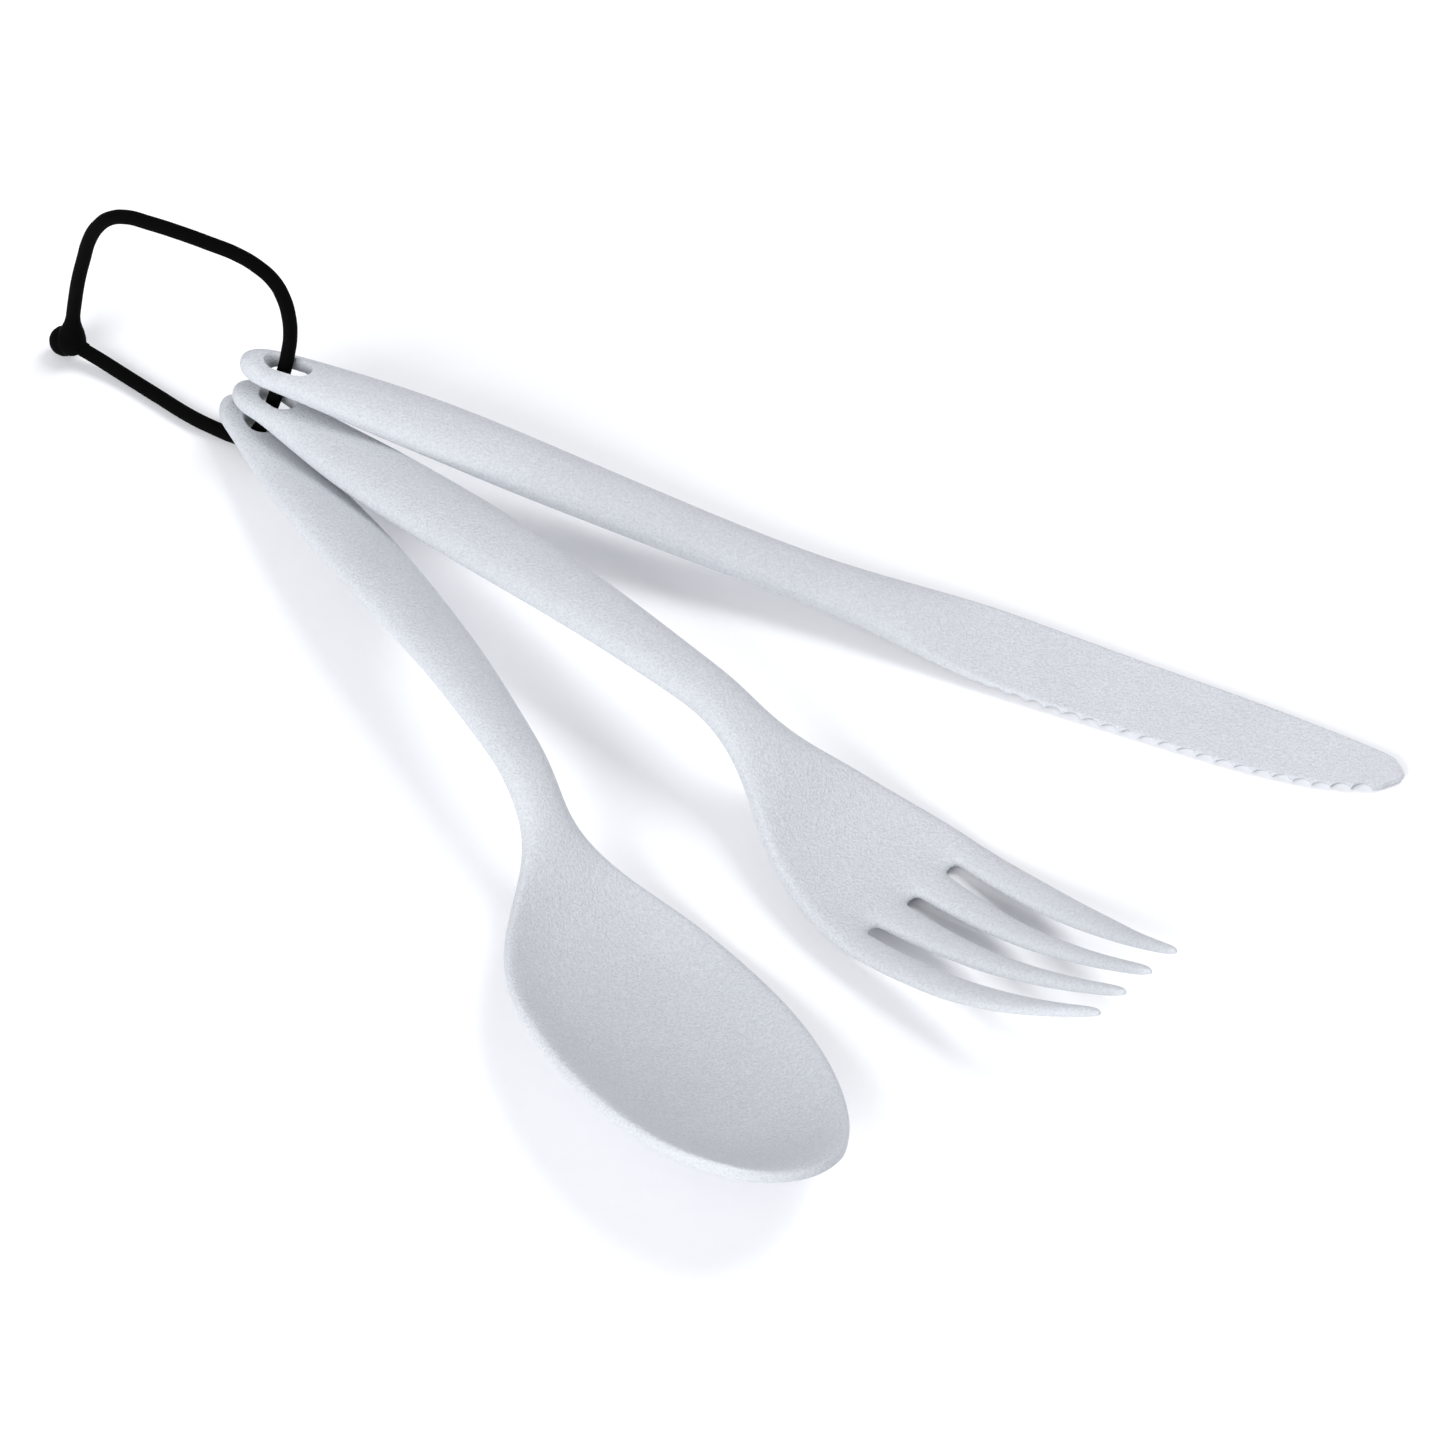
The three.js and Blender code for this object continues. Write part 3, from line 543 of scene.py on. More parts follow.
def hole_cutter(length, width, top_flare, bottom_flare, along, across):
    """An oblong plug, narrow at its waist and opened out towards both faces."""
    waist = RING_THICKNESS / 10
    reach = RING_THICKNESS
    growth = (reach - waist) / (RING_THICKNESS / 2 - waist)
    slide = (length - width) / 2
    flare = bottom_flare * growth
    bpy.ops.object.select_all(action="DESELECT")
    bpy.ops.mesh.primitive_circle_add(
        vertices=ROUND_CUT_SIDES, radius=(width / 2 + flare) * MM, fill_type="NGON",
        location=(0, 0, -reach * MM))
    obj = name_it("hole_cutter")
    bpy.ops.object.transform_apply(location=True, rotation=True, scale=True)
    bpy.ops.object.mode_set(mode="EDIT")
    for side in (-1, 1):
        edit = bmesh.from_edit_mesh(obj.data)
        pick_points(obj.data, [v.index for v in edit.verts if v.co.x * side > 0.01 * MM])
        bpy.ops.transform.translate(value=(side * slide * MM, 0, 0))
    bpy.ops.mesh.select_all(action="SELECT")
    level, grow = -reach, flare
    mouth = RING_THICKNESS / 2 - MOUTH_DEPTH
    wide_top = top_flare * (reach - mouth) / MOUTH_DEPTH
    for next_level, next_grow in ((-waist, 0.0), (mouth, WAIST_DRAFT), (reach, wide_top)):
        bpy.ops.mesh.extrude_region_move(
            TRANSFORM_OT_translate={"value": (0, 0, (next_level - level) * MM)})
        before = width / 2 + grow
        after = width / 2 + next_grow
        bpy.ops.transform.resize(
            value=((after + slide) / (before + slide), after / before, 1),
            center_override=(0, 0, next_level * MM))
        level, grow = next_level, next_grow
    bpy.ops.mesh.select_all(action="SELECT")
    bpy.ops.mesh.normals_make_consistent(inside=False)
    bpy.ops.transform.translate(value=(along * MM, across * MM, 0))
    bpy.ops.object.mode_set(mode="OBJECT")
    return obj


def cut(obj, cutter):
    """Takes one body out of another and removes the cutter."""
    only(obj)
    modifier = obj.modifiers.new("Cut", "BOOLEAN")
    modifier.operation = "DIFFERENCE"
    modifier.object = cutter
    modifier.solver = "EXACT"
    bpy.ops.object.modifier_apply(modifier=modifier.name)
    bpy.data.objects.remove(cutter, do_unlink=True)


# Materials


def linear(colour):
    """sRGB hex to the linear colour that a shader takes."""
    values = [int(colour[i:i + 2], 16) / 255 for i in (0, 2, 4)]
    parts = [v / 12.92 if v <= 0.04045 else ((v + 0.055) / 1.055) ** 2.4 for v in values]
    return (*parts, 1.0)


def add_node(tree, kind, links=None, **settings):
    """Adds a node, sets its properties and sockets, and links its inputs."""
    node = tree.nodes.new(kind)
    for name, value in settings.items():
        if name in node.inputs:
            node.inputs[name].default_value = value
        elif name.replace("_", " ") in node.inputs:
            node.inputs[name.replace("_", " ")].default_value = value
        else:
            setattr(node, name, value)
    for name, source in (links or {}).items():
        tree.links.new(source, node.inputs[name])
    return node


def new_material(name):
    material = bpy.data.materials.new(name)
    material.use_nodes = True
    tree = material.node_tree
    tree.nodes.clear()
    return material, tree


def blasted_plastic(colour):
    """Injection-moulded polypropylene from a bead-blasted mould.

    To the eye: matt, with a fine even grain that breaks every highlight into a soft band,
    and the faintest clouding where the filler has flowed.
    """
    material, tree = new_material("polypropylene_moulded_bead_blasted")
    place = add_node(tree, "ShaderNodeTexCoord").outputs["Object"]
    # Blast grit of about 0.35 mm, drawn a little coarser so that it shows at this distance
    grit = 0.38 * MM
    grain = add_node(tree, "ShaderNodeTexNoise", {"Vector": place},
                     Scale=1 / grit, Detail=2.0, Roughness=0.6)
    # The plastic's flow clouds it over about 14 mm, by a few percent
    clouding = 14 * MM
    cloud = add_node(tree, "ShaderNodeTexNoise", {"Vector": place},
                     Scale=1 / clouding, Detail=3.0, Roughness=0.55)
    light = linear(colour)
    dark = tuple(value * 0.965 for value in light[:3]) + (1.0,)
    tone = add_node(tree, "ShaderNodeValToRGB", {"Fac": cloud.outputs["Fac"]})
    tone.color_ramp.elements[0].position = 0.3
    tone.color_ramp.elements[0].color = dark
    tone.color_ramp.elements[1].position = 0.7
    tone.color_ramp.elements[1].color = light
    # Painted light and shade on the grain: its tops are drawn lighter and its pits darker, as if
    # they caught more and less light
    pits = add_node(tree, "ShaderNodeMapRange", {"Value": grain.outputs["Fac"]},
                    From_Min=0.3, From_Max=0.7, To_Min=0.87, To_Max=1.06)
    # The base colour with the painted grain highlight and shade laid into it
    grain_shaded_base = add_node(tree, "ShaderNodeVectorMath",
                        {"Vector": tone.outputs["Color"], "Scale": pits.outputs["Result"]},
                        operation="SCALE")
    # Matt all over, a little less so in the pits
    rough = add_node(tree, "ShaderNodeMapRange", {"Value": grain.outputs["Fac"]},
                     To_Min=0.5, To_Max=0.66)
    bump = add_node(tree, "ShaderNodeBump", {"Height": grain.outputs["Fac"]},
                    Strength=1.0, Distance=0.22 * MM)
    shader = add_node(tree, "ShaderNodeBsdfPrincipled",
                      {"Base Color": grain_shaded_base.outputs["Vector"],
                       "Roughness": rough.outputs["Result"],
                       "Normal": bump.outputs["Normal"]},
                      IOR=1.49, Metallic=0.0)
    add_node(tree, "ShaderNodeOutputMaterial", {"Surface": shader.outputs["BSDF"]})
    return material


def moulded_rubber(colour):
    """Compression-moulded black rubber.

    To the eye: almost black, with a dull broad sheen and a faint dusty bloom.
    """
    material, tree = new_material("rubber_moulded_matt")
    place = add_node(tree, "ShaderNodeTexCoord").outputs["Object"]
    # Mould skin of about 0.3 mm, drawn as it is
    skin_grain = 0.3 * MM
    skin = add_node(tree, "ShaderNodeTexNoise", {"Vector": place},
                    Scale=1 / skin_grain, Detail=2.0)
    # Patches of dusty bloom about 5 mm across
    patch = 5 * MM
    bloom = add_node(tree, "ShaderNodeTexNoise", {"Vector": place},
                     Scale=1 / patch, Detail=2.0)
    base = linear(colour)
    dusty = tuple(value * 1.7 for value in base[:3]) + (1.0,)
    tone = add_node(tree, "ShaderNodeValToRGB", {"Fac": bloom.outputs["Fac"]})
    tone.color_ramp.elements[0].position = 0.35
    tone.color_ramp.elements[0].color = base
    tone.color_ramp.elements[1].position = 0.75
    tone.color_ramp.elements[1].color = dusty
    bump = add_node(tree, "ShaderNodeBump", {"Height": skin.outputs["Fac"]},
                    Strength=0.25, Distance=0.05 * MM)
    shader = add_node(tree, "ShaderNodeBsdfPrincipled",
                      {"Base Color": tone.outputs["Color"], "Normal": bump.outputs["Normal"]},
                      Roughness=0.85, IOR=1.52, Specular_IOR_Level=0.04, Metallic=0.0)
    add_node(tree, "ShaderNodeOutputMaterial", {"Surface": shader.outputs["BSDF"]})
    return material


def studio_paper():
    """Seamless white paper, uncoated: flat white with no gloss."""
    material, tree = new_material("paper_uncoated_white")
    place = add_node(tree, "ShaderNodeTexCoord").outputs["Object"]
    # Fibre clouding of about 2 mm, too faint to see but for a trace of tone
    fibre_cloud = 2 * MM
    fibre = add_node(tree, "ShaderNodeTexNoise", {"Vector": place}, Scale=1 / fibre_cloud)
    tone = add_node(tree, "ShaderNodeValToRGB", {"Fac": fibre.outputs["Fac"]})
    tone.color_ramp.elements[0].color = linear("F3F4F6")
    tone.color_ramp.elements[1].color = linear("F6F6F8")
    shader = add_node(tree, "ShaderNodeBsdfPrincipled",
                      {"Base Color": tone.outputs["Color"]},
                      Roughness=1.0, Specular_IOR_Level=0.0)
    add_node(tree, "ShaderNodeOutputMaterial", {"Surface": shader.outputs["BSDF"]})
    return material


def finish_piece(obj, material, node):
    """Gives a piece its material, hangs it on the set's root and hides the model's node that it
    replaces.
    """
    obj.data.materials.clear()
    obj.data.materials.append(material)
    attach(obj, "root")
    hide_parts(node)


def plastic(settings):
    found = bpy.data.materials.get("polypropylene_moulded_bead_blasted")
    return found or blasted_plastic(settings.plastic_colour)


def rubber(settings):
    return bpy.data.materials.get("rubber_moulded_matt") or moulded_rubber(settings.rubber_colour)


# Pieces


class CUTLERY_OT_knife(bpy.types.Operator):
    """Model the knife: oval handle, straight blade with a scalloped edge"""

    bl_idname = "cutlery.knife"
    bl_label = "Knife"

    def execute(self, context):
        settings = context.scene.cutlery
        length = settings.knife_length / MM
        width = settings.blade_width / MM
        waist = length * 0.49
        start = length * 0.64
        fork_clear = comes_clear(
            KNIFE_LIES, FORK_LIES, (settings.knife_handle_width, settings.fork_handle_width))
        handle = handle_half_width(settings.knife_handle_width / MM, waist, KNIFE_WAIST_WIDTH)
        thickness = handle_half_thickness(waist, NECK_THICKNESS)
        wedge = (SPINE_THICKNESS - EDGE_THICKNESS) / width / 2
        blade_half = SPINE_THICKNESS / 2 - wedge * width / 2
        spine = profile(
            (waist, KNIFE_WAIST_WIDTH / 2),
            (length * 0.58, width * 0.37),
            (start, width * 0.45),
            (length * 0.76, width * 0.39),
            (length * 0.86, width * 0.32),
            (length * 0.94, width * 0.23),
            (length, width * 0.15),
        )
        edge = profile(
            (waist, KNIFE_WAIST_WIDTH / 2),
            (length * 0.58, width * 0.37),
            (length * 0.66, width * 0.47),
            (length * 0.77, width * 0.5),
            (length * 0.86, width * 0.51),
            (length * 0.94, width * 0.43),
            (length * 0.98, width * 0.27),
            (length, width * 0.2),
        )
        blade = profile((waist * 1.1, 0), (start * 1.04, 1))
        ring = KNIFE_LIES[0][2]
        ring_under = ring - RING_THICKNESS / 2
        under = profile(
            (0, ring_under + 0.2),
            (HOLE_FROM_END, ring_under),
            (fork_clear * 0.7, ring_under * 0.85),
            (length * 0.3, ring_under * 0.54),
            (length * 0.45, ring_under * 0.27),
            (length * 0.6, ring_under * 0.1),
            (length * 0.74, ring_under * 0.02),
            (length * 0.82, 0),
        )

        def point_at(place, share, column):
            on_blade = blade(place)
            near_tip = max(0.0, place - (length - KNIFE_TIP)) / KNIFE_TIP
            close = math.sqrt(max(0.0, 1 - near_tip ** 2 * KNIFE_TIP_NARROWING))
            left = (handle(place) if place < waist else spine(place)) * close
            right = (handle(place) if place < waist else edge(place)) * close
            middle = (left - right) / 2
            y = middle + share * (left + right) / 2
            half = blend(thickness(place), blade_half, on_blade)
            wedged = wedge * on_blade * y
            z = under(place) + half + wedged - ring
            shape = blend(oval(share), plate(share), on_blade)
            lead = -KNIFE_TIP_BOW * share * share * near_tip
            thick = 2 * (half + wedged) * shape * (1 - TIP_THINNING * near_tip)
            return y, z, lead, thick

        places = handle_places(9)
        end = length - KNIFE_TIP
        steps = round((end - places[-1]) / BLADE_ROW_SPACING)
        places += places_between(places[-1], end, steps)
        places += [length - KNIFE_LAST_STEP, length]
        obj = model_utensil("knife_body", COLUMNS, KNIFE_OPENING, places, point_at)

        # The scallops: round cuts, tilted so that they bite the upper flank
        first = length * 0.655
        count = int((length * 0.985 - first) // SCALLOP_PITCH)
        for i in range(count + 1):
            place = first + i * SCALLOP_PITCH
            out = edge(place)
            slope = (edge(place + 1) - edge(place - 1)) / 2
            shift = SCALLOP_RADIUS / math.cos(SCALLOP_TILT) - SCALLOP_DEPTH
            lean = math.hypot(1, slope)
            x = place + slope * shift / lean - HOLE_FROM_END
            y = -out - shift / lean
            bpy.ops.object.select_all(action="DESELECT")
            bpy.ops.mesh.primitive_cylinder_add(
                vertices=ROUND_CUT_SIDES, radius=SCALLOP_RADIUS * MM,
                depth=SCALLOP_CUTTER_LENGTH * MM,
                location=(x * MM, y * MM, (EDGE_THICKNESS / 2 - ring) * MM),
                rotation=(SCALLOP_TILT, 0, 0))
            cut(obj, name_it("scallop_cutter"))
        lay_down(obj, KNIFE_LIES)
        bpy.ops.object.shade_smooth_by_angle(angle=CREASE_ANGLE)
        finish_piece(obj, plastic(settings), "knife")
        return {"FINISHED"}


class CUTLERY_OT_fork(bpy.types.Operator):
    """Model the fork: cranked neck, shallow head and four tapering tines"""

    bl_idname = "cutlery.fork"
    bl_label = "Fork"

    def execute(self, context):
        settings = context.scene.cutlery
        length = settings.fork_length / MM
        width = settings.fork_width / MM
        neck = length * 0.57
        slot_base = length * 0.772
        clear = comes_clear(
            KNIFE_LIES, FORK_LIES, (settings.knife_handle_width, settings.fork_handle_width))
        handle = handle_half_width(settings.fork_handle_width / MM, neck, NECK_WIDTH)
        thickness = handle_half_thickness(neck, NECK_THICKNESS)
        height = FORK_LIES[0][2]
        head = profile(
            (neck, NECK_WIDTH / 2),
            (length * 0.605, width * 0.175),
            (length * 0.64, width * 0.285),
            (length * 0.7, width * 0.432),
            (length * 0.765, width * 0.5),
            (length * 0.84, width * 0.486),
            (length * 0.92, width * 0.42),
            (length, TINE_TIP_SPREAD / 2 + TINE_TIP_WIDTH / 2),
        )
        half = profile(
            (neck, NECK_THICKNESS / 2),
            (length * 0.7, FORK_THICKNESS / 2),
            (length * 0.85, FORK_THICKNESS / 2),
            (length, TINE_TIP_THICKNESS / 2),
        )
        edge = profile(
            (0, height - NOSE_DROOP),
            (HOLE_FROM_END, height - 0.1),
            (clear * 0.45, height + 0.1),
            (clear * 0.75, height + 1),
            (length * 0.3, 13.9),
            (length * 0.45, 15.4),
            (length * 0.545, 15.2),
            (length * 0.62, 9.8),
            (length * 0.7, 4.0),
            (length * 0.765, 2.8),
            (length * 0.86, 5.6),
            (length * 0.93, 10.2),
            (length * 1.04, 19.3),
        )
        dish = profile(
            (length * 0.6, 0),
            (length * 0.7, FORK_DISH),
            (length * 0.84, FORK_DISH),
            (length * 0.95, 0),
        )
        as_plate = profile((neck, 0), (length * 0.7, 1))
        ring = edge(HOLE_FROM_END)
        tine_gap = TINE_TIP_SPREAD / 3
        spread = profile((neck, 0), (length * 0.68, 1))

        def slot_wall(place, slot, side):
            """How far out a side of the middle slot (0) or of an outer one (1) runs."""
            t = min(1.0, max(0.0, (place - slot_base) / (length - slot_base)))
            middle = blend(SLOT_BASE_SPACING, tine_gap, t) * slot
            slot_at_tip = tine_gap - TINE_TIP_WIDTH
            slot_width = blend(SLOT_BASE_WIDTH, slot_at_tip, t ** SLOT_WIDENING_POWER)
            return middle + side * slot_width / 2

        def head_column(place, column):
            """A column's way out from the middle, its side of the tine, and how near the tip.

            Each tine has three columns: its inner side, its middle and its outer side.
            """
            last = len(FORK_COLUMNS) - 1
            mirror = 1 if column > last / 2 else -1
            outward = max(column, last - column)
            if outward > SLOT_COLUMNS[-1]:
                inside, outside = slot_wall(place, 1, 1), head(place)
            else:
                inside, outside = slot_wall(place, 0, 1), slot_wall(place, 1, -1)
            tip = max(0.0, place - (length - TINE_ROUNDING)) / TINE_ROUNDING
            narrowed = math.sqrt(max(0.0, 1 - TINE_TIP_NARROWING * tip ** 2))
            step = outward % 3 - 1
            y = (inside + outside) / 2 + step * ((outside - inside) / 2 * narrowed)
            return mirror * y, step, tip

        def point_at(place, share, column):
            in_head = spread(place)
            row_width = handle(place) if place < neck else head(place)
            y_head, step, tip = head_column(max(place, slot_base), column)
            if place < slot_base:
                y_head *= row_width / head(slot_base)
            y = blend(share * row_width, y_head, in_head)
            across = y / row_width
            z = edge(place) - dish(place) * (1 - min(1.0, abs(across)) ** 2) - ring
            full = thickness(place) if place < neck else half(place)
            tines = min(1.0, max(0.0, (place - slot_base) / TINE_SIDE_FROM))
            on_tine = 1.0 if step == 0 else TINE_SIDE
            shape = blend(oval(share), plate(share), as_plate(place))
            shape = blend(shape, on_tine, tines)
            if place > slot_base - SLOT_SIDE_BEFORE and step != 0:
                shape = min(shape, SLOT_SIDE)
            lead = -TINE_TIP_BOW * tip * abs(step)
            return y, z, lead, 2 * full * shape * (1 - TIP_THINNING * tip)

        places = handle_places(8)
        steps = round((slot_base - places[-1]) / FORK_ROW_SPACING)
        places += places_between(places[-1], slot_base, steps)
        base_row = len(places)
        places.append(slot_base + SLOT_END_DEPTH)
        places += places_between(slot_base, length - TINE_ROUNDING, TINE_ROWS)
        places += [length - TINE_LAST_STEP, length]
        gaps = [
            (row, column) for row in range(base_row, len(places)) for column in SLOT_COLUMNS
        ]
        obj = model_utensil("fork_body", FORK_COLUMNS, FORK_OPENING, places, point_at, gaps)
        lay_down(obj, FORK_LIES)
        bpy.ops.object.shade_smooth()
        finish_piece(obj, plastic(settings), "fork")
        return {"FINISHED"}


class CUTLERY_OT_spoon(bpy.types.Operator):
    """Model the spoon: cranked neck and an egg-shaped bowl"""

    bl_idname = "cutlery.spoon"
    bl_label = "Spoon"

    def execute(self, context):
        settings = context.scene.cutlery
        length = settings.spoon_length / MM
        width = settings.bowl_width / MM
        depth = settings.bowl_depth / MM
        neck = length * 0.57
        widest = length * 0.8
        clear = comes_clear(
            FORK_LIES, SPOON_LIES, (settings.fork_handle_width, settings.spoon_handle_width))
        handle = handle_half_width(settings.spoon_handle_width / MM, neck, SPOON_NECK_WIDTH)
        thickness = handle_half_thickness(neck, NECK_THICKNESS)
        height = SPOON_LIES[0][2]
        head = profile(
            (neck, SPOON_NECK_WIDTH / 2),
            (length * 0.6, width * 0.145),
            (length * 0.64, width * 0.29),
            (length * 0.68, width * 0.405),
            (length * 0.73, width * 0.472),
            (widest, width * 0.5),
        )
        half = profile((neck, NECK_THICKNESS / 2), (length * 0.66, BOWL_WALL / 2))
        edge = profile(
            (0, height - NOSE_DROOP * 0.6),
            (HOLE_FROM_END, height - 0.1),
            (clear * 0.3, height + 0.3),
            (clear * 0.62, height + 2.6),
            (length * 0.3, 11.9),
            (length * 0.43, 14.2),
            (length * 0.52, 13.9),
            (length * 0.58, 9.5),
            (length * 0.65, 4.2),
            (length * 0.7, 3.7),
            (length * 0.76, 5.0),
            (length * 0.83, 7.0),
            (length * 0.92, 9.8),
            (length * 1.04, 14.5),
        )
        dish = profile(
            (neck, 0),
            (length * 0.65, depth * 0.25),
            (length * 0.72, depth * 0.62),
            (length * 0.82, depth),
            (length * 0.92, depth * 0.82),
            (length, 0),
        )
        as_plate = profile((neck, 0), (length * 0.66, 1))
        ring = edge(HOLE_FROM_END)
        nose = length - widest - TIP_TRIM
        # Rows bow round the nose of the bowl until the last one is its tip
        tip_bow = nose * (1 - math.sqrt(1 - TIP_BOW_SHARE ** 2))

        def point_at(place, share, column):
            t = min(1.0, max(0.0, (place - widest) / nose))
            if place < neck:
                row_width, full = handle(place), thickness(place)
            else:
                row_width, full = head(place), half(place)
            bow = tip_bow * t * t
            rim_t = max(0.0, (place - bow - widest) / nose)
            row_width *= math.sqrt(max(0.0, 1 - rim_t * rim_t))
            y = share * row_width
            lead = -bow * share * share
            at = place + lead
            # Across the bowl the depth follows the whole outline, also in the bowed rows
            whole = head(at) * math.sqrt(max(0.0, 1 - (max(0.0, at - widest) / nose) ** 2))
            if place < neck:
                whole = row_width
            inward = min(1.0, abs(y) / max(whole, 0.01) / BOWL_OPENING)
            z = edge(at) - dish(at) * (1 - inward ** BOWL_POWER) - ring
            shape = blend(oval(share), plate(share), as_plate(place))
            if place >= widest + nose - 0.01:
                shape = min(shape, BOWL_TIP_SIDE)
            return y, z, lead, 2 * full * shape

        places = handle_places(8)
        steps = round((widest - places[-1]) / SPOON_ROW_SPACING)
        places += places_between(places[-1], widest, steps)
        places += [widest + nose * t for t in BOWL_NOSE_ROWS]
        obj = model_utensil("spoon_body", COLUMNS, SPOON_OPENING, places, point_at)
        lay_down(obj, SPOON_LIES)
        bpy.ops.object.shade_smooth()
        finish_piece(obj, plastic(settings), "spoon")
        return {"FINISHED"}


class CUTLERY_OT_loop(bpy.types.Operator):
    """Model the rubber loop, with the ball and the eye that close it"""

    bl_idname = "cutlery.loop"
    bl_label = "Loop"

    def execute(self, context):
        settings = context.scene.cutlery
        radius = settings.cord_diameter / 2
        data = bpy.data.curves.new("retaining_cord", "CURVE")
        data.dimensions = "3D"
        data.bevel_depth = radius - CORD_TRIM * MM
        data.bevel_resolution = 6
        data.use_fill_caps = True
        data.resolution_u = 8
        line = data.splines.new("BEZIER")
        line.bezier_points.add(len(CORD_ROUTE) - 1)
        route = [in_frame(point) for point in CORD_ROUTE]
        for knot, point in zip(line.bezier_points, route):
            knot.co = point
            knot.handle_left_type = "AUTO"
            knot.handle_right_type = "AUTO"
        cord = bpy.data.objects.new("retaining_cord", data)
        context.collection.objects.link(cord)

        clasp = self.model_clasp(route, radius)
        material = rubber(settings)
        for obj in (cord, clasp):
            finish_piece(obj, material, "retaining_loop")
        return {"FINISHED"}

    def model_clasp(self, route, radius):
        """The ball on its neck, extruded ring by ring, and the eye drawn up round the neck."""
        ball = BALL_DIAMETER / 2 * MM
        neck = BALL_NECK_DIAMETER / 2 * MM
        along = (route[-1] + Vector((0, 0, -BALL_DROP * MM)) - route[-2]).normalized()
        middle = BALL_FROM_CORD * MM
        # From inside the cord's end to the neck, and then round the ball
        rings = [(-1.0 * MM, radius), (-0.4 * MM, radius), (0.2 * MM, neck)]
        start = math.asin(neck / ball)
        for i in range(BALL_RINGS):
            turn = (math.pi - start - BALL_END_ANGLE) * i / (BALL_RINGS - 1)
            angle = math.pi - start - turn
            rings.append((middle + ball * math.cos(angle), ball * math.sin(angle)))
        obj = self.turned("retaining_clasp", rings, route[-1], along)

        eye_middle = in_frame(EYE_PLACE)
        bpy.ops.object.select_all(action="DESELECT")
        bpy.ops.mesh.primitive_uv_sphere_add(
            segments=32, ring_count=20, radius=EYE_RADIUS * MM, location=(0, 0, 0))
        eye = name_it("eye")
        bpy.ops.object.mode_set(mode="EDIT")
        bpy.ops.mesh.select_all(action="SELECT")
        bpy.ops.transform.resize(value=EYE_SHAPE, center_override=(0, 0, 0))
        bpy.ops.object.mode_set(mode="OBJECT")
        eye.location = eye_middle
        only(eye)
        bpy.ops.object.transform_apply(location=True, rotation=True, scale=True)

        # The cord's first end flares out into the top of the eye
        span = route[1] - eye_middle
        rings = [(span.length * share, radius * width) for share, width in FLARE_WIDTHS]
        taper = self.turned("taper", rings, eye_middle, span.normalized())

        # All three are melted into one moulding and its seams softened
        only(obj)
        for other in (eye, taper):
            other.select_set(True)
        bpy.ops.object.join()
        melt = obj.modifiers.new("Remesh", "REMESH")
        melt.mode = "VOXEL"
        melt.voxel_size = CLASP_VOXEL * MM
        soften = obj.modifiers.new("Smooth", "SMOOTH")
        soften.factor = 0.5
        soften.iterations = 6
        for modifier in (melt.name, soften.name):
            bpy.ops.object.modifier_apply(modifier=modifier)
        bpy.ops.object.shade_smooth()
        return obj

    def turned(self, name, rings, place, along):
        """A round piece extruded ring by ring, each a height and a radius, and laid along."""
        bpy.ops.object.select_all(action="DESELECT")
        bpy.ops.mesh.primitive_circle_add(
            vertices=TURNED_SIDES, radius=rings[0][1], fill_type="NGON",
            location=(0, 0, rings[0][0]))
        obj = name_it(name)
        bpy.ops.object.transform_apply(location=True, rotation=True, scale=True)
        bpy.ops.object.mode_set(mode="EDIT")
        for before, after in zip(rings, rings[1:]):
            bpy.ops.mesh.extrude_region_move(
                TRANSFORM_OT_translate={"value": (0, 0, after[0] - before[0])})
            factor = after[1] / before[1]
            bpy.ops.transform.resize(value=(factor, factor, 1), center_override=(0, 0, after[0]))
        bpy.ops.object.mode_set(mode="OBJECT")
        obj.rotation_mode = "QUATERNION"
        obj.rotation_quaternion = Vector((0, 0, 1)).rotation_difference(along)
        obj.location = place
        only(obj)
        bpy.ops.object.transform_apply(location=True, rotation=True, scale=True)
        return obj


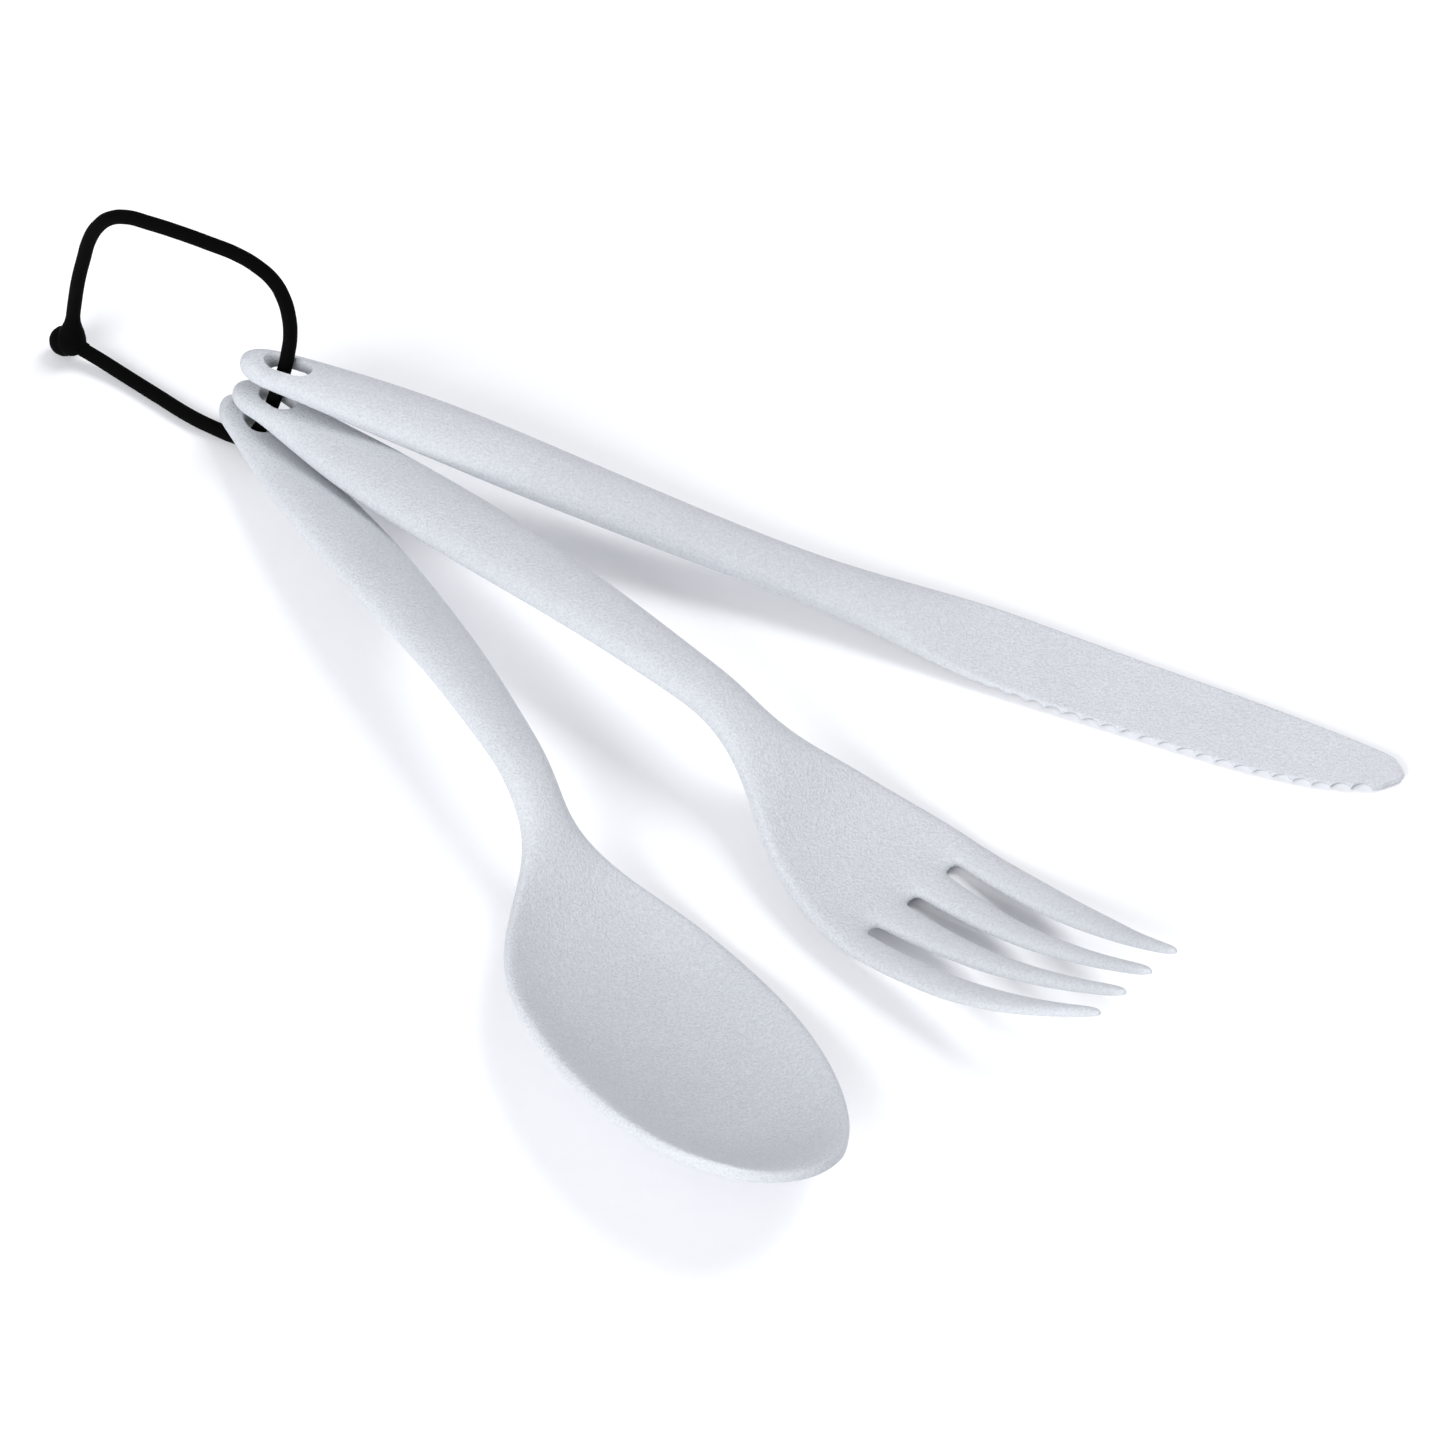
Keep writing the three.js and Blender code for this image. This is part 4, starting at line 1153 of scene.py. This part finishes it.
class CUTLERY_OT_stage(bpy.types.Operator):
    """Set up the white ground, the soft studio light and the camera"""

    bl_idname = "cutlery.stage"
    bl_label = "Stage"

    def execute(self, context):
        bpy.ops.object.select_all(action="DESELECT")
        bpy.ops.mesh.primitive_plane_add(size=FLOOR_SIZE, location=(0, 0, -FLOOR_DROP * MM))
        floor = name_it("floor")
        bpy.ops.object.transform_apply(location=True, rotation=True, scale=True)
        floor.data.materials.append(studio_paper())

        # A soft box at the back right, and a broad one low at the front left
        self.soft_box("key_light", *KEY_LIGHT)
        self.soft_box("fill_light", *FILL_LIGHT)

        world = bpy.data.worlds.new("studio")
        context.scene.world = world
        world.use_nodes = True
        background = world.node_tree.nodes["Background"]
        background.inputs["Color"].default_value = linear("F4F6FA")
        background.inputs["Strength"].default_value = ROOM_LIGHT
        context.scene.view_settings.view_transform = "Standard"

        elevation = math.radians(CAMERA_ELEVATION)
        target = SET_ORIGIN * MM
        bpy.ops.object.camera_add(
            location=target + Vector((0, -math.cos(elevation), math.sin(elevation)))
            * CAMERA_DISTANCE * MM,
            rotation=(math.pi / 2 - elevation, 0, 0))
        camera = context.view_layer.objects.active
        camera.name = "photo_camera"
        camera.data.sensor_width = SENSOR
        camera.data.lens = FOCAL_PIXELS / FRAME_PIXELS * SENSOR
        context.scene.camera = camera
        return {"FINISHED"}

    def soft_box(self, name, place, size, power):
        """Adds a square soft box that faces the origin."""
        bpy.ops.object.light_add(type="AREA", location=place)
        light = bpy.context.view_layer.objects.active
        light.name = name
        light.data.shape = "SQUARE"
        light.data.size = size
        light.data.energy = power
        aim = Vector((0.0, 0.0, 0.0)) - Vector(place)
        light.rotation_euler = aim.to_track_quat("-Z", "Y").to_euler()


class CUTLERY_PT_set(bpy.types.Panel):
    """The cutlery set's pieces and sizes"""

    bl_idname = "CUTLERY_PT_set"
    bl_label = "Cutlery set"
    bl_space_type = "VIEW_3D"
    bl_region_type = "UI"
    bl_category = "Cutlery"

    def draw(self, context):
        layout = self.layout
        settings = context.scene.cutlery
        for name in CutlerySettings.__annotations__:
            layout.prop(settings, name)
        for operator in OPERATORS:
            layout.operator(operator.bl_idname)


OPERATORS = (
    CUTLERY_OT_stage,
    CUTLERY_OT_knife,
    CUTLERY_OT_fork,
    CUTLERY_OT_spoon,
    CUTLERY_OT_loop,
)
CLASSES = (CutlerySettings, *OPERATORS, CUTLERY_PT_set)


def register():
    for cls in CLASSES:
        bpy.utils.register_class(cls)
    bpy.types.Scene.cutlery = bpy.props.PointerProperty(type=CutlerySettings)


def unregister():
    del bpy.types.Scene.cutlery
    for cls in reversed(CLASSES):
        bpy.utils.unregister_class(cls)


def main():
    register()
    bpy.ops.cutlery.stage()
    bpy.ops.cutlery.knife()
    bpy.ops.cutlery.fork()
    bpy.ops.cutlery.spoon()
    bpy.ops.cutlery.loop()


if __name__ == "__main__":
    main()
